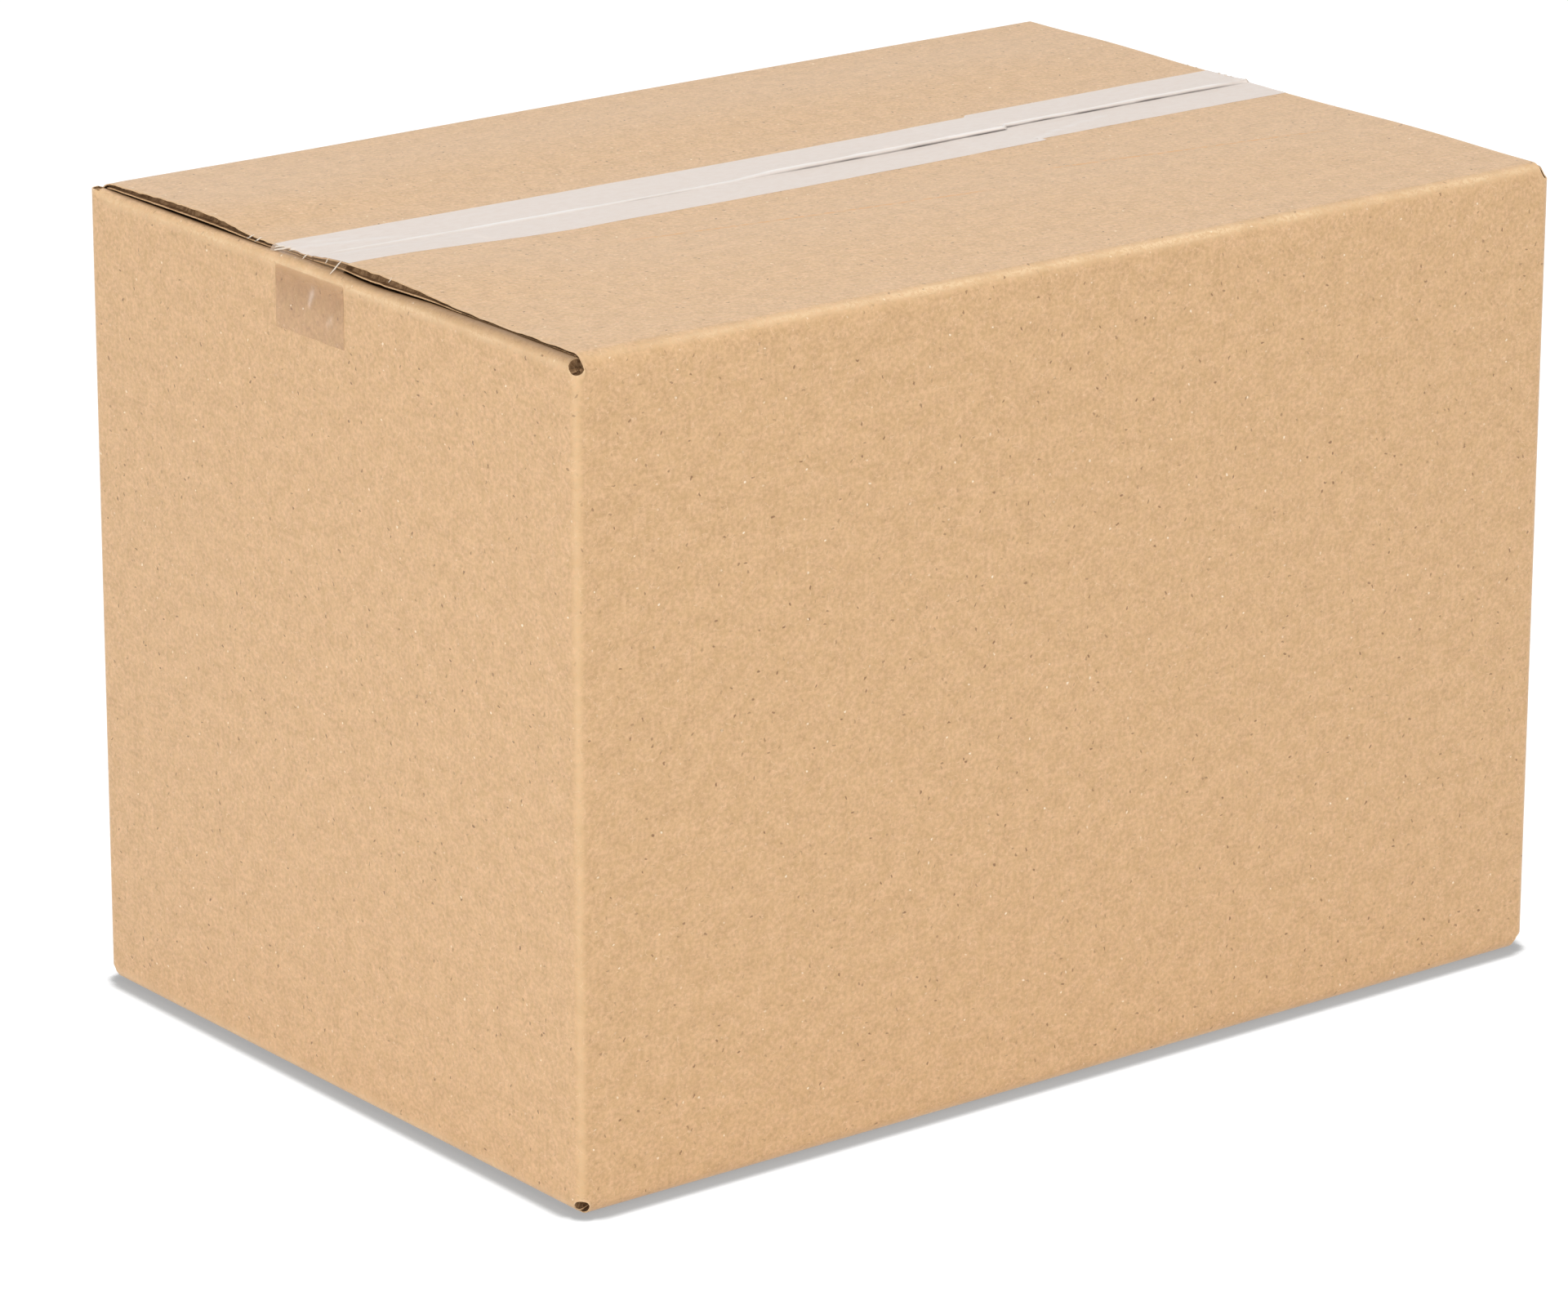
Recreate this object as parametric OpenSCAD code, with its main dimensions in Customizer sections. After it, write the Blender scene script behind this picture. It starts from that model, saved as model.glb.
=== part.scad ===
// Closed slotted carton: one corrugated blank, folded to a box and taped shut.
// Frame: origin at the middle of the base, X along the length, Y to the back, Z up.
// The flutes of the board run up the walls, and from the fold to the seam in the outer flaps.

/* [Inside size] */
// Inside length, between the end panels
inside_l = 457.2; // [250:0.1:900]
// Inside width, between the long panels
inside_w = 304.8; // [200:0.1:600]
// Inside height, between the inner flaps
inside_h = 304.8; // [150:0.1:600]

/* [Board] */
// Thickness of the board
board_t = 4; // [3.5:0.1:4.5]
// Thickness of the liner that stands out at a raw edge
liner_t = 0.5; // [0.3:0.1:0.8]
// How far the fluting stands back behind the liners at a raw edge
flute_recess = 2.2; // [0.5:0.1:3]
// Air left between an outer flap and the inner flap under it
layer_gap = 0.4; // [0.2:0.1:1]

/* [Folds] */
// Outer radius of the folds of the top outer flaps
top_fold_r = 8; // [6:0.5:9]
// Outer radius of the folds of the bottom outer flaps
bottom_fold_r = 6; // [5.5:0.5:9]
// Outer radius of the folds of the inner flaps
inner_fold_r = 3.5; // [2.5:0.5:4]
// Distance from an outer flap's face to the crown of an inner flap's fold
crown_depth = 1.5; // [0.8:0.1:2]
// Distance from the end panel's face to where the inner flap lies level
level_from = 12; // [10:0.5:16]
// Outer radius of the upright folds
corner_r = 3.5; // [2.5:0.5:5]
// Inner radius of the upright folds, where the board is crushed
corner_inner_r = 0.8; // [0.5:0.1:1.5]

/* [Slots] */
// Width of the slots that part the flaps
slot_w = 5.5; // [5:0.5:9]
// Radius of the round cut at the end of a slot
slot_end_r = 3.3; // [2.5:0.1:3.5]
// Distance from the closed top flaps down to the ends of their slots
top_slot_depth = 3; // [2.5:0.1:7]
// Distance from the closed bottom flaps up to the ends of their slots
bottom_slot_depth = 2; // [1.5:0.1:3]

/* [Flaps] */
// How far the top seam lies behind the middle of the box
seam_shift = 12; // [-15:0.5:15]
// Gap between the two outer flaps at the top seam
top_seam_gap = 2; // [0.5:0.5:4]
// Gap between the two outer flaps at the bottom seam
bottom_seam_gap = 1.5; // [0.5:0.5:4]
// Rise of the top outer flaps between their fold and the tape
flap_rise = 1.5; // [0:0.1:3]

/* [Glued joint] */
// Width of the tab that the box maker glues behind the back panel
tab_w = 35; // [25:1:45]
// Height that the ends of the tab lose towards its free edge
tab_taper = 10; // [4:1:16]

/* [Tape] */
// Width of the tape
tape_w = 48; // [36:1:52]
// Thickness of the tape
tape_t = 0.1; // [0.1:0.05:0.3]
// Where the left strip ends, over the right one
tape_join_x = 102; // [-100:1:150]
// Length over which the two top strips lie on each other
tape_lap = 30; // [10:1:60]
// How far the left strip lies behind the seam
left_tape_shift = 1; // [-3:0.5:3]
// How far the right strip lies behind the seam
right_tape_shift = 3; // [-3:0.5:3]
// Length of the strips' ends on the end panels, from the fold down
tape_tail = 27; // [15:1:60]

/* [Hidden] */
kraft = [0.80, 0.64, 0.46];
clear_tape = [0.90, 0.87, 0.85];
fold_steps = 8;
rise_steps = 12;
cut_fn = 48;
// Room that a cutter has past the faces it goes through
reach_past = 1;

// Outside faces of the box
length = inside_l + 2 * board_t;
width = inside_w + 2 * board_t;
base_z = tape_t;
top_z = base_z + inside_h + 4 * board_t + 2 * layer_gap;
// Distance from an outer flap's face down to the face of the inner flap under it
inner_layer = board_t + layer_gap;
// All the flap creases lie on one line round the blank, so an inner flap starts higher
// than it lies, and slopes in from the crown of its fold
inner_slope = (inner_layer - crown_depth) / (level_from - inner_fold_r);
// Distances from the closed faces to where the straight walls begin
top_rim = max(top_fold_r, top_slot_depth + slot_end_r);
bottom_rim = max(bottom_fold_r, bottom_slot_depth + slot_end_r);
// Each slot is centred on the middle of the board at an upright fold
flap_inset = board_t / 2 + slot_w / 2;
outer_span = length - 2 * flap_inset;
inner_span = width - 2 * flap_inset;
inner_reach = width / 2;
// The pressed part of an outer flap starts just short of the side edge of the inner flap
pressed_start = flap_inset - 0.7;
// The top flaps lie level under the tape, and a little past its edges
level_reach = tape_w / 2 + 6;

function arc_pts(centre, r, from, to) =
    [for (i = [0:fold_steps])
        let (a = from + (to - from) * i / fold_steps)
        centre + r * [cos(a), sin(a)]];
function pressed_at(x) = crown_depth - layer_gap + (x - inner_fold_r) * inner_slope;
function backwards(list) = [for (i = [len(list) - 1:-1:0]) list[i]];

// A flap's section is drawn with the outer face of its wall on x = 0 and the outer face
// of the flap on y = 0. A skin is the line at one depth in the board, from fold to edge.
function rise_at(x, fold_r, reach, rise) =
    rise * pow(sin(180 * (x - fold_r) / (reach - level_reach - fold_r)), 2);
function risen_pts(depth, fold_r, reach, rise) =
    [for (i = [1:rise_steps])
        let (x = fold_r + (reach - level_reach - fold_r) * i / rise_steps)
        [x, depth - rise_at(x, fold_r, reach, rise)]];
function skin_pts(depth, fold_r, from, reach, rise) = concat(
    arc_pts([fold_r, fold_r], fold_r - depth, from, 270),
    rise > 0 ? risen_pts(depth, fold_r, reach, rise) : [],
    [[reach, depth]]);
function board_section(near, far, fold_r, from, reach, rise) = concat(
    skin_pts(near, fold_r, from, reach, rise),
    backwards(skin_pts(far, fold_r, from, reach, rise)));

// Draws a section at the front of the base: the fold along X, the flap along +Y
module along_fold(span) {
    rotate([90, 0, 90])
        linear_extrude(span, center = true)
            children();
}

module inner_flap(rim) {
    slope_a = atan(inner_slope);
    centre = [inner_fold_r, crown_depth + inner_fold_r];
    // The inner face is parallel to the outer one, a board's thickness further in
    face_drop = board_t / cos(slope_a);
    heel_y = crown_depth + face_drop - (inner_fold_r - board_t) * inner_slope;
    level_x = level_from + board_t * tan(slope_a / 2);
    along_fold(inner_span)
        polygon(concat(
            [[0, rim]],
            arc_pts(centre, inner_fold_r, 180, 270 + slope_a),
            [[level_from, inner_layer],
             [inner_reach, inner_layer],
             [inner_reach, inner_layer + board_t],
             [level_x, inner_layer + board_t],
             [board_t, heel_y],
             [board_t, rim]]));
}

// The open flute along both raw ends of an outer flap, from the middle of its fold on
module open_flutes(span, reach, fold_r, rise) {
    for (side = [-1, 1])
        translate([side * (span / 2 - flute_recess / 2), 0, 0])
            rotate([90, 0, 90])
                linear_extrude(flute_recess + 0.01, center = true)
                    polygon(board_section(liner_t, board_t - liner_t, fold_r, 225,
                        reach + reach_past, rise));
}

// What an inner flap presses out of an outer flap's board: the end of the flap, where the
// inner flap slopes down, and the inside of its fold, along the inner flap's side edge
module pressed_ends(reach, skin) {
    start = flap_inset - reach_past;
    far = inner_reach + layer_gap;
    for (side = [0, 1])
        mirror([side, 0, 0])
            translate([-length / 2, pressed_start, -skin])
                rotate([-90, 0, 0])
                    mirror([0, 1, 0])
                        linear_extrude(reach)
                            polygon([
                                [start, pressed_at(start)],
                                [level_from, board_t],
                                [far, board_t],
                                [far, 2 * board_t],
                                [start, 2 * board_t]]);
}

module outer_flap(reach, fold_r, rim, rise) {
    difference() {
        along_fold(outer_span)
            polygon(concat(
                [[0, rim]],
                board_section(0, board_t, fold_r, 180, reach, rise),
                [[board_t, rim]]));
        difference() {
            open_flutes(outer_span, reach, fold_r, rise);
            pressed_ends(reach, liner_t);
        }
        pressed_ends(reach, 0);
    }
}

// Turns a piece drawn at the front of the base round to the top of the box
module at_top() {
    translate([0, 0, top_z])
        mirror([0, 0, 1])
            children();
}

module at_base() {
    translate([0, 0, base_z])
        children();
}

module at_front() {
    translate([0, -width / 2, 0])
        children();
}

module at_back() {
    mirror([0, 1, 0])
        at_front()
            children();
}

module at_both_ends() {
    for (side = [0, 1])
        mirror([side, 0, 0])
            translate([-length / 2, 0, 0])
                rotate([0, 0, -90])
                    children();
}

module flaps() {
    at_top() {
        at_front()
            outer_flap(width / 2 + seam_shift - top_seam_gap / 2, top_fold_r, top_rim, flap_rise);
        at_back()
            outer_flap(width / 2 - seam_shift - top_seam_gap / 2, top_fold_r, top_rim, flap_rise);
        at_both_ends()
            inner_flap(top_rim);
    }
    at_base() {
        at_front()
            outer_flap((width - bottom_seam_gap) / 2, bottom_fold_r, bottom_rim, 0);
        at_back()
            outer_flap((width - bottom_seam_gap) / 2, bottom_fold_r, bottom_rim, 0);
        at_both_ends()
            inner_flap(bottom_rim);
    }
}

// Outline of one face of the four panels seen from above, with its corners rounded
function ring_pts(depth, r) =
    let (x = length / 2 - depth - r, y = width / 2 - depth - r)
    concat(
        arc_pts([x, y], r, 0, 90),
        arc_pts([-x, y], r, 90, 180),
        arc_pts([-x, -y], r, 180, 270),
        arc_pts([x, -y], r, 270, 360));

module panels() {
    count = 4 * (fold_steps + 1);
    translate([0, 0, base_z + bottom_rim])
        linear_extrude(top_z - top_rim - base_z - bottom_rim)
            polygon(concat(ring_pts(0, corner_r), ring_pts(board_t, corner_inner_r)),
                [[for (i = [0:count - 1]) i], [for (i = [count:2 * count - 1]) i]]);
}

// The stub of an upright fold that stands past the panels, up to the end of the slot
module corner_stub(rim, slot_depth) {
    inner_c = board_t + corner_inner_r;
    translate([-length / 2, -width / 2, slot_depth])
        linear_extrude(rim - slot_depth)
            polygon(concat(
                [[flap_inset, 0], [flap_inset, board_t]],
                backwards(arc_pts([inner_c, inner_c], corner_inner_r, 180, 270)),
                [[board_t, flap_inset], [0, flap_inset]],
                arc_pts([corner_r, corner_r], corner_r, 180, 270)));
}

// The round end of a slot, bent round the upright fold as a half-round hole
module slot_end(slot_depth) {
    through = (board_t + corner_inner_r) * sqrt(2) - corner_inner_r + 0.05;
    translate([-length / 2, -width / 2, slot_depth])
        rotate([0, 90, 45])
            translate([0, 0, -reach_past * 2])
                cylinder(h = through + reach_past * 2, r = slot_end_r, $fn = cut_fn);
}

module at_corners() {
    for (x = [0, 1], y = [0, 1])
        mirror([x, 0, 0])
            mirror([0, y, 0])
                children();
}

// The back panel's raw edge at the right, with the tab glued behind it
joint_low = base_z + bottom_slot_depth;
joint_high = top_z - top_slot_depth;
module joint_edge() {
    translate([length / 2 - corner_r - reach_past, width / 2 - board_t, joint_low])
        cube([corner_r + reach_past, board_t, joint_high - joint_low]);
}

module joint_tab() {
    low = base_z + bottom_rim + 2;
    high = top_z - top_rim - 2;
    x = length / 2 - board_t;
    translate([0, width / 2 - board_t, 0])
        rotate([90, 0, 0])
            linear_extrude(board_t)
                polygon([
                    [x + reach_past, low],
                    [x + reach_past, high],
                    [x - 2, high],
                    [x - tab_w, high - tab_taper],
                    [x - tab_w, low + tab_taper],
                    [x - 2, low]]);
}

module joint_cuts() {
    fold_r = board_t - 1;
    edge_y = width / 2 - board_t;
    translate([0, 0, joint_low - reach_past])
        linear_extrude(joint_high - joint_low + 2 * reach_past) {
            // The tab's own fold, rounded away from the raw edge
            polygon(concat(
                [[length / 2 + reach_past, edge_y], [length / 2 - fold_r, edge_y]],
                backwards(arc_pts([length / 2 - fold_r, edge_y - layer_gap - fold_r], fold_r, 0, 90)),
                [[length / 2 + reach_past, edge_y - layer_gap - fold_r]]));
            // The open flute in the raw edge
            translate([length / 2 - flute_recess, edge_y + liner_t])
                square([flute_recess + reach_past, board_t - 2 * liner_t]);
        }
}

module carton() {
    color(kraft)
        difference() {
            union() {
                panels();
                flaps();
                at_corners() {
                    at_base() corner_stub(bottom_rim, bottom_slot_depth);
                    at_top() corner_stub(top_rim, top_slot_depth);
                }
                joint_edge();
                joint_tab();
            }
            at_corners() {
                at_base() slot_end(bottom_slot_depth);
                at_top() slot_end(top_slot_depth);
            }
            joint_cuts();
        }
}

// A top strip seen from the front, drawn at the left end. It lies on the outer flap,
// bends over its raw edge to the fold of the end panel, and sticks to that panel.
function tape_face(depth, far_x, lap_x) =
    let (
        edge = [flap_inset - length / 2 - depth, top_z + depth],
        centre = [inner_fold_r - length / 2, top_z - crown_depth - inner_fold_r],
        r = inner_fold_r + depth,
        // The strip runs straight from the flap's edge to where it meets the round fold
        run = edge - centre,
        meet_a = atan2(run[1], run[0]) + acos(r / norm(run)),
        // It bends where the fold does, so that it lies flat on each of its faces
        bend_a = (90 + atan(inner_slope)) / fold_steps,
        bends = floor((180 - meet_a) / bend_a),
        lap = lap_x < far_x ? tape_t : 0)
    concat(
        [[far_x, top_z + depth + lap]],
        lap > 0 ? [[lap_x, top_z + depth + lap], [lap_x - reach_past, top_z + depth]] : [],
        [edge],
        [for (i = [bends:-1:0])
            centre + r * [cos(180 - i * bend_a), sin(180 - i * bend_a)]],
        [[-length / 2 - depth, centre[1] - tape_tail]]);

module top_strip(far_x, lap_x, shift) {
    translate([0, seam_shift + shift + tape_w / 2, 0])
        rotate([90, 0, 0])
            linear_extrude(tape_w)
                polygon(concat(
                    tape_face(tape_t, far_x, lap_x),
                    backwards(tape_face(0, far_x, lap_x))));
}

module top_tape_left() {
    color(clear_tape)
        top_strip(tape_join_x, tape_join_x - tape_lap, left_tape_shift);
}

module top_tape_right() {
    start_x = tape_join_x - tape_lap;
    color(clear_tape)
        mirror([1, 0, 0])
            top_strip(-start_x, -start_x, right_tape_shift);
}

module bottom_tape() {
    color(clear_tape)
        translate([-outer_span / 2, -tape_w / 2, 0])
            cube([outer_span, tape_w, tape_t]);
}

carton();
top_tape_left();
top_tape_right();
bottom_tape();
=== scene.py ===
# %% [markdown]
# # A closed and taped cardboard box
# The box is one sheet of corrugated board, cut, creased and folded, with clear tape over its
# seams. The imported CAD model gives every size. These cells fold the same sheet again as a
# finer mesh, with the small bulges, crushed folds and raw edges of a real box, and then give
# each surface its finish. The CAD model stays under it as the frame: it carries the box in
# the simulation, and nothing here may move it.

# %% Load the frame
import math
import bmesh
import bpy
import numpy as np
from mathutils import Matrix, Vector


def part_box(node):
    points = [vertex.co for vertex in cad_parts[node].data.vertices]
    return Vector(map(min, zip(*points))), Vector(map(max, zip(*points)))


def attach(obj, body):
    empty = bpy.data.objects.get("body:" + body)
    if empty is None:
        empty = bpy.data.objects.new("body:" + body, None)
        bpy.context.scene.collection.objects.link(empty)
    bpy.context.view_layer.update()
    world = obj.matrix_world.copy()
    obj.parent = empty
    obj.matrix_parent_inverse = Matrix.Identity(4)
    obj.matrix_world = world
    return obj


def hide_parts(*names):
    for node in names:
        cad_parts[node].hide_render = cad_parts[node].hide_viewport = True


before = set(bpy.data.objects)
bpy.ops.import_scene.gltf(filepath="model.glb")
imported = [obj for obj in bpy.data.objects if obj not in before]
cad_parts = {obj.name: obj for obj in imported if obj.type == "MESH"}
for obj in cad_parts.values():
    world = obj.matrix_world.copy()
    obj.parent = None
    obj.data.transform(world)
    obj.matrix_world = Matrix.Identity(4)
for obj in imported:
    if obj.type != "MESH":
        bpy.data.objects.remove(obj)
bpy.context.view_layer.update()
print("nodes:", sorted(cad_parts))

# %% [markdown]
# ## Sizes
# The outside faces come from the frame. The thickness of the board, the radii of the folds
# and the slots are the box maker's sizes, in millimetres, as in the part's source. Working
# in millimetres keeps the numbers readable, and one factor turns them into metres when a
# mesh is made.

# %% Sizes of the box, in millimetres
MM = 0.001
carton_low, carton_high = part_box("carton")
tape_low, tape_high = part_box("top_tape_right")
LENGTH = (carton_high.x - carton_low.x) / MM
WIDTH = (carton_high.y - carton_low.y) / MM
BASE = carton_low.z / MM
FILM = 0.1
TOP = tape_high.z / MM - FILM
# The board, one of its liners, and the air between two layers of flaps
BOARD, LINER, LAYER_GAP = 4.0, 0.5, 0.4
# Radii of the folds on the outer face of the board
BOTTOM_FOLD_R, INNER_FOLD_R, CORNER_R = 6.0, 3.5, 3.5
# How far an inner flap's fold crowns under the outer flaps, and where the flap lies flat
CROWN, LEVEL_FROM = 1.5, 12.0
# How far from a wall's face the flaps' cut sides are, at a slot and at the glued joint
SLOT_INSET, TAB_INSET = 4.75, 6.75
# How deep the slots end under the closed faces, and how high their round ends are
TOP_SLOT, BOTTOM_SLOT, SLOT_ROUND, BOTTOM_ROUND = 3.0, 2.6, 3.3, 3.96
# The right strip of tape lies this far behind the seam
STRIP_BEHIND = 3.0
SEAM_Y = (tape_low.y + tape_high.y) / 2 / MM - STRIP_BEHIND
print(f"box {LENGTH:.1f} x {WIDTH:.1f} x {TOP:.1f} mm, top seam at y = {SEAM_Y:.1f}")

# %% [markdown]
# ## Unevenness
# No sheet of board is flat. A real one could be scanned, or simulated under load, but its
# bumps are so slight that smooth noise does the job. This noise blends random numbers on a
# square grid, and a seed makes it the same on every run.

# %% Smooth noise over a sheet
# The grid repeats after this many squares
GRID = 97


def soft_noise(u, v, size, seed):
    """Smooth values from -1 to 1 over two arrays, with bumps about `size` across."""
    grid = np.random.default_rng(seed).uniform(-1, 1, (GRID, GRID))
    a, b = np.broadcast_arrays(np.asarray(u) / size, np.asarray(v) / size)
    i, j = np.floor(a).astype(int), np.floor(b).astype(int)
    s, t = a - i, b - j
    s, t = s * s * (3 - 2 * s), t * t * (3 - 2 * t)
    i, j, beyond_i, beyond_j = i % GRID, j % GRID, (i + 1) % GRID, (j + 1) % GRID
    low = grid[i, j] * (1 - s) + grid[beyond_i, j] * s
    high = grid[i, beyond_j] * (1 - s) + grid[beyond_i, beyond_j] * s
    return low * (1 - t) + high * t


def smooth(x, start, end):
    """0 before start, 1 after end, and a soft step between them."""
    t = np.clip((np.asarray(x, float) - start) / (end - start), 0, 1)
    return t * t * (3 - 2 * t)


def hump(x, middle, size):
    """A bell of height 1 round the middle."""
    return np.exp(-((np.asarray(x, float) - middle) / size) ** 2)


# %% [markdown]
# ## How the top flaps lie
# The outer flaps bow up a little between their fold and the tape, because they have to
# climb over the inner flaps. Over the open middle of the box they sag again. Right of the
# middle the back flap's cut edge stands higher than the front one's, and the tape has a line
# of painted shade there. The raw ends wave more: at the left end each flap stands well off
# the end panel's fold in one place and lies hard on it in another. One function says how
# high a flap stands at any point, so that the board and the tape on it use the same surface.

# %% Height of the outer top flaps over their level
SEAM_GAP = 1.2
SEAM_JOG, JOG_FROM, JOG_TO = 2.8, 98.6, 101.4
# The bow starts behind the fold and ends where the tape holds the flap down
FOLD_END, HELD_DOWN = 8, 30.0
BOW, BOW_LOST_RIGHT, SAG, BACK_EDGE = 1.35, 0.6, 0.5, 0.9
NICK, ROUGH, FINE_ROUGH = 0.3, 0.16, 0.05
# How high the raw left end of each flap stands: n from the wall's face, and the lift
BACK_END = ([8, 12, 30, 55, 68, 80, 90, 100, 120, 144],
            [0.6, 1.1, 1.8, 2.9, 3.3, 3.0, 2.0, 0.8, 0.6, 0.6])
FRONT_END = ([8, 14, 22, 47, 75, 92, 105, 118, 135, 149, 156, 163, 168],
             [0.2, 0.4, 0.5, 0.4, 0.8, 1.9, 2.8, 3.3, 3.2, 3.2, 2.6, 1.4, 0.9])


def seam_y(x):
    """Where the seam runs. It jogs a little where the strips of tape lap."""
    return SEAM_Y + SEAM_JOG * np.clip((np.asarray(x, float) - JOG_FROM) / (JOG_TO - JOG_FROM), 0, 1)


def flap_reach(side, x):
    """From the wall's face to the flap's cut edge at the seam."""
    return WIDTH / 2 - side * seam_y(x) - SEAM_GAP / 2


def flap_lift(side, x, n):
    """Height in mm of the front (-1) or back (1) flap, at x, and n from its wall's face."""
    n = np.asarray(n, float)
    reach = flap_reach(side, x)
    s = np.clip((n - FOLD_END) / (reach - HELD_DOWN - FOLD_END), 0, 1)
    bow = BOW * np.sin(np.pi * s) ** 2 * (1 - BOW_LOST_RIGHT * smooth(x, 170, 228))
    to_edge = reach - n
    sag = -SAG * hump(x, 0, 75) * smooth(to_edge, 90, 20)
    edge = BACK_EDGE * smooth(x, -60, 0) * (side > 0) * np.exp(-np.maximum(to_edge, 0) / 7)
    at_n, lift = BACK_END if side > 0 else FRONT_END
    # Five shifted readings round off the corners of the list
    waved = sum(np.interp(n + shift, at_n, lift) for shift in (-5, -2.5, 0, 2.5, 5)) / 5
    nicks = NICK * soft_noise(n, 0, 3.2, 55 + side) * smooth(-x, 221, 227.5)
    at_left = smooth(-x, 120, 224)
    rough = ROUGH * soft_noise(x, n, 62, 5 + side) + FINE_ROUGH * soft_noise(x, n, 17, 9 + side)
    rough = rough * smooth(n, 9, 30)
    return (bow + sag + edge) * (1 - at_left) + rough + (waved + nicks) * at_left * smooth(n, 1.5, 9)


print("bow of the front flap:", round(float(flap_lift(-1, -100.0, 75.0)), 2), "mm")

# %% [markdown]
# ## The blank
# A box maker cuts this sheet flat: four panels side by side, each with a flap above and
# below, parted by slots, and a narrow tab at one end. Folded, it is still one sheet, so the
# mesh is one too. Its points lie on a grid. Columns run round the box, and rows run from
# the bottom seam up the wall to the top seam. A modeller could also start from a cube and
# bevel it, but then the flaps, the slots and the thickness of the board would be missing.
#
# A column knows its point on the outer face of the wall, its point on the inner face, and
# the direction into the box.

# %% Columns: the way round the box
PANELS = ["back", "left", "front", "right"]
ALONG = [(-1, 0), (0, -1), (1, 0), (0, 1)]
INWARD = [(0, -1), (1, 0), (0, 1), (-1, 0)]
SPANS = [LENGTH, WIDTH, LENGTH, WIDTH]
columns = []


def wall_point(k, t, depth=0.0):
    """Plan point on panel k, t along it from its middle, at a depth in the board."""
    off = (WIDTH if k % 2 == 0 else LENGTH) / 2 - depth
    return np.array(ALONG[k]) * t - np.array(INWARD[k]) * off


def add_column(k, panel, outer, inner, inward, u, t=0.0):
    columns.append(dict(k=k, panel=panel, outer=np.array(outer, float), u=u, t=t,
                        inner=np.array(inner, float), inward=np.array(inward, float)))


# %% [markdown]
# Cells of about 6.6 mm are enough for a flat panel. Near the raw ends of the flaps the
# board is pressed thin, so the columns there stand closer.

# %% Columns of the panels and of the upright folds
CELL, CLOSEST = 6.6, 1.2
END_STEPS = [0, 1.6, 3.4, 5.3, 9]
# The inside of a fold is crushed to this radius
INNER_R = 0.8


def panel_steps(span, far_inset):
    near = SLOT_INSET - span / 2 + np.array(END_STEPS)
    far = span / 2 - far_inset - np.array(END_STEPS)
    count = round((far[-1] - near[-1]) / CELL)
    return np.concatenate([near[:-1], np.linspace(near[-1], far[-1], count + 1), far[-2::-1]])


def with_jog(k, steps):
    """A long panel gets two more columns, where the seam jogs."""
    extra = {0: [-JOG_TO, -JOG_FROM], 2: [JOG_FROM, JOG_TO]}.get(k, [])
    kept = [t for t in steps if all(abs(t - e) > CLOSEST for e in extra)]
    return np.array(sorted(kept + extra))


def add_straight(k, start, end, u, steps=3):
    """Columns of the straight stretch between a slot's edge and the round of the fold."""
    for t in np.linspace(start, end, steps + 1)[1:]:
        add_column(k, None, wall_point(k, t), wall_point(k, t, BOARD), INWARD[k], u + abs(t - start), t)
    return u + abs(end - start)


def add_bend(k, end, r, u, steps=8):
    """Columns of a quarter turn after panel k, which ends at `end`. Its inside is pressed to a tight
    radius.
    """
    inward, along = np.array(INWARD[k]), np.array(ALONG[k])
    start = wall_point(k, end)
    centre = start + inward * r
    centre_in = start + inward * (BOARD + INNER_R) + along * (r - BOARD - INNER_R)
    for i in range(1, steps + 1):
        a = math.pi / 2 * i / steps
        way = along * math.sin(a) - inward * math.cos(a)
        add_column(k, None, centre + r * way, centre_in + INNER_R * way, -way, u + r * a)
    return u + r * math.pi / 2


# %% [markdown]
# The glued joint is at the back right corner. The back panel ends there in a raw edge, and
# the tab that follows the right panel folds in behind it.

# %% Lay the columns out
TAB_FOLD_R, TAB_GAP, TAB_WIDTH, TAB_TAPER, TAB_SHORTER = 2.2, 0.3, 35.0, 10.0, 0.02
half_slot = SLOT_INSET - CORNER_R + CORNER_R * math.pi / 4
add_column(0, None, wall_point(0, -LENGTH / 2), wall_point(0, -LENGTH / 2, BOARD), INWARD[0], 0.0)
u = add_straight(0, -LENGTH / 2, SLOT_INSET - LENGTH / 2, 0.0)
# Each slot's middle along the blank, and its half width
slots = [(0.0, SLOT_INSET)]
for k, name in enumerate(PANELS):
    steps = with_jog(k, panel_steps(SPANS[k], TAB_INSET if name == "right" else SLOT_INSET))
    columns.pop()
    for t in steps:
        add_column(k, name, wall_point(k, t), wall_point(k, t, BOARD), INWARD[k], u + t - steps[0], t)
    u += steps[-1] - steps[0]
    if name == "right":
        # The tab lies behind the back panel, so its fold starts a board's thickness earlier
        end = WIDTH / 2 - BOARD - TAB_GAP - TAB_FOLD_R
        u = add_straight(k, steps[-1], end, u, 1)
        slots.append((u + TAB_FOLD_R, TAB_FOLD_R + 1))
        u = add_bend(k, end, TAB_FOLD_R, u)
    else:
        end = SPANS[k] / 2 - CORNER_R
        u = add_straight(k, steps[-1], end, u)
        slots.append((u + CORNER_R * math.pi / 4, half_slot))
        u = add_bend(k, end, CORNER_R, u)
        half = SPANS[k + 1] / 2
        u = add_straight(k + 1, CORNER_R - half, SLOT_INSET - half, u)
tab_corner = np.array([LENGTH / 2 - TAB_FOLD_R, WIDTH / 2 - BOARD - TAB_GAP])
for step in np.linspace(0, TAB_WIDTH - TAB_FOLD_R, 7)[1:]:
    add_column(4, "tab", tab_corner - (step, 0), tab_corner - (step, BOARD), (0, -1), u + step, step)
BACK_LEFT = slots[1][0]
print(len(columns), "columns, blank", round(columns[-1]["u"]), "mm long")

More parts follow.
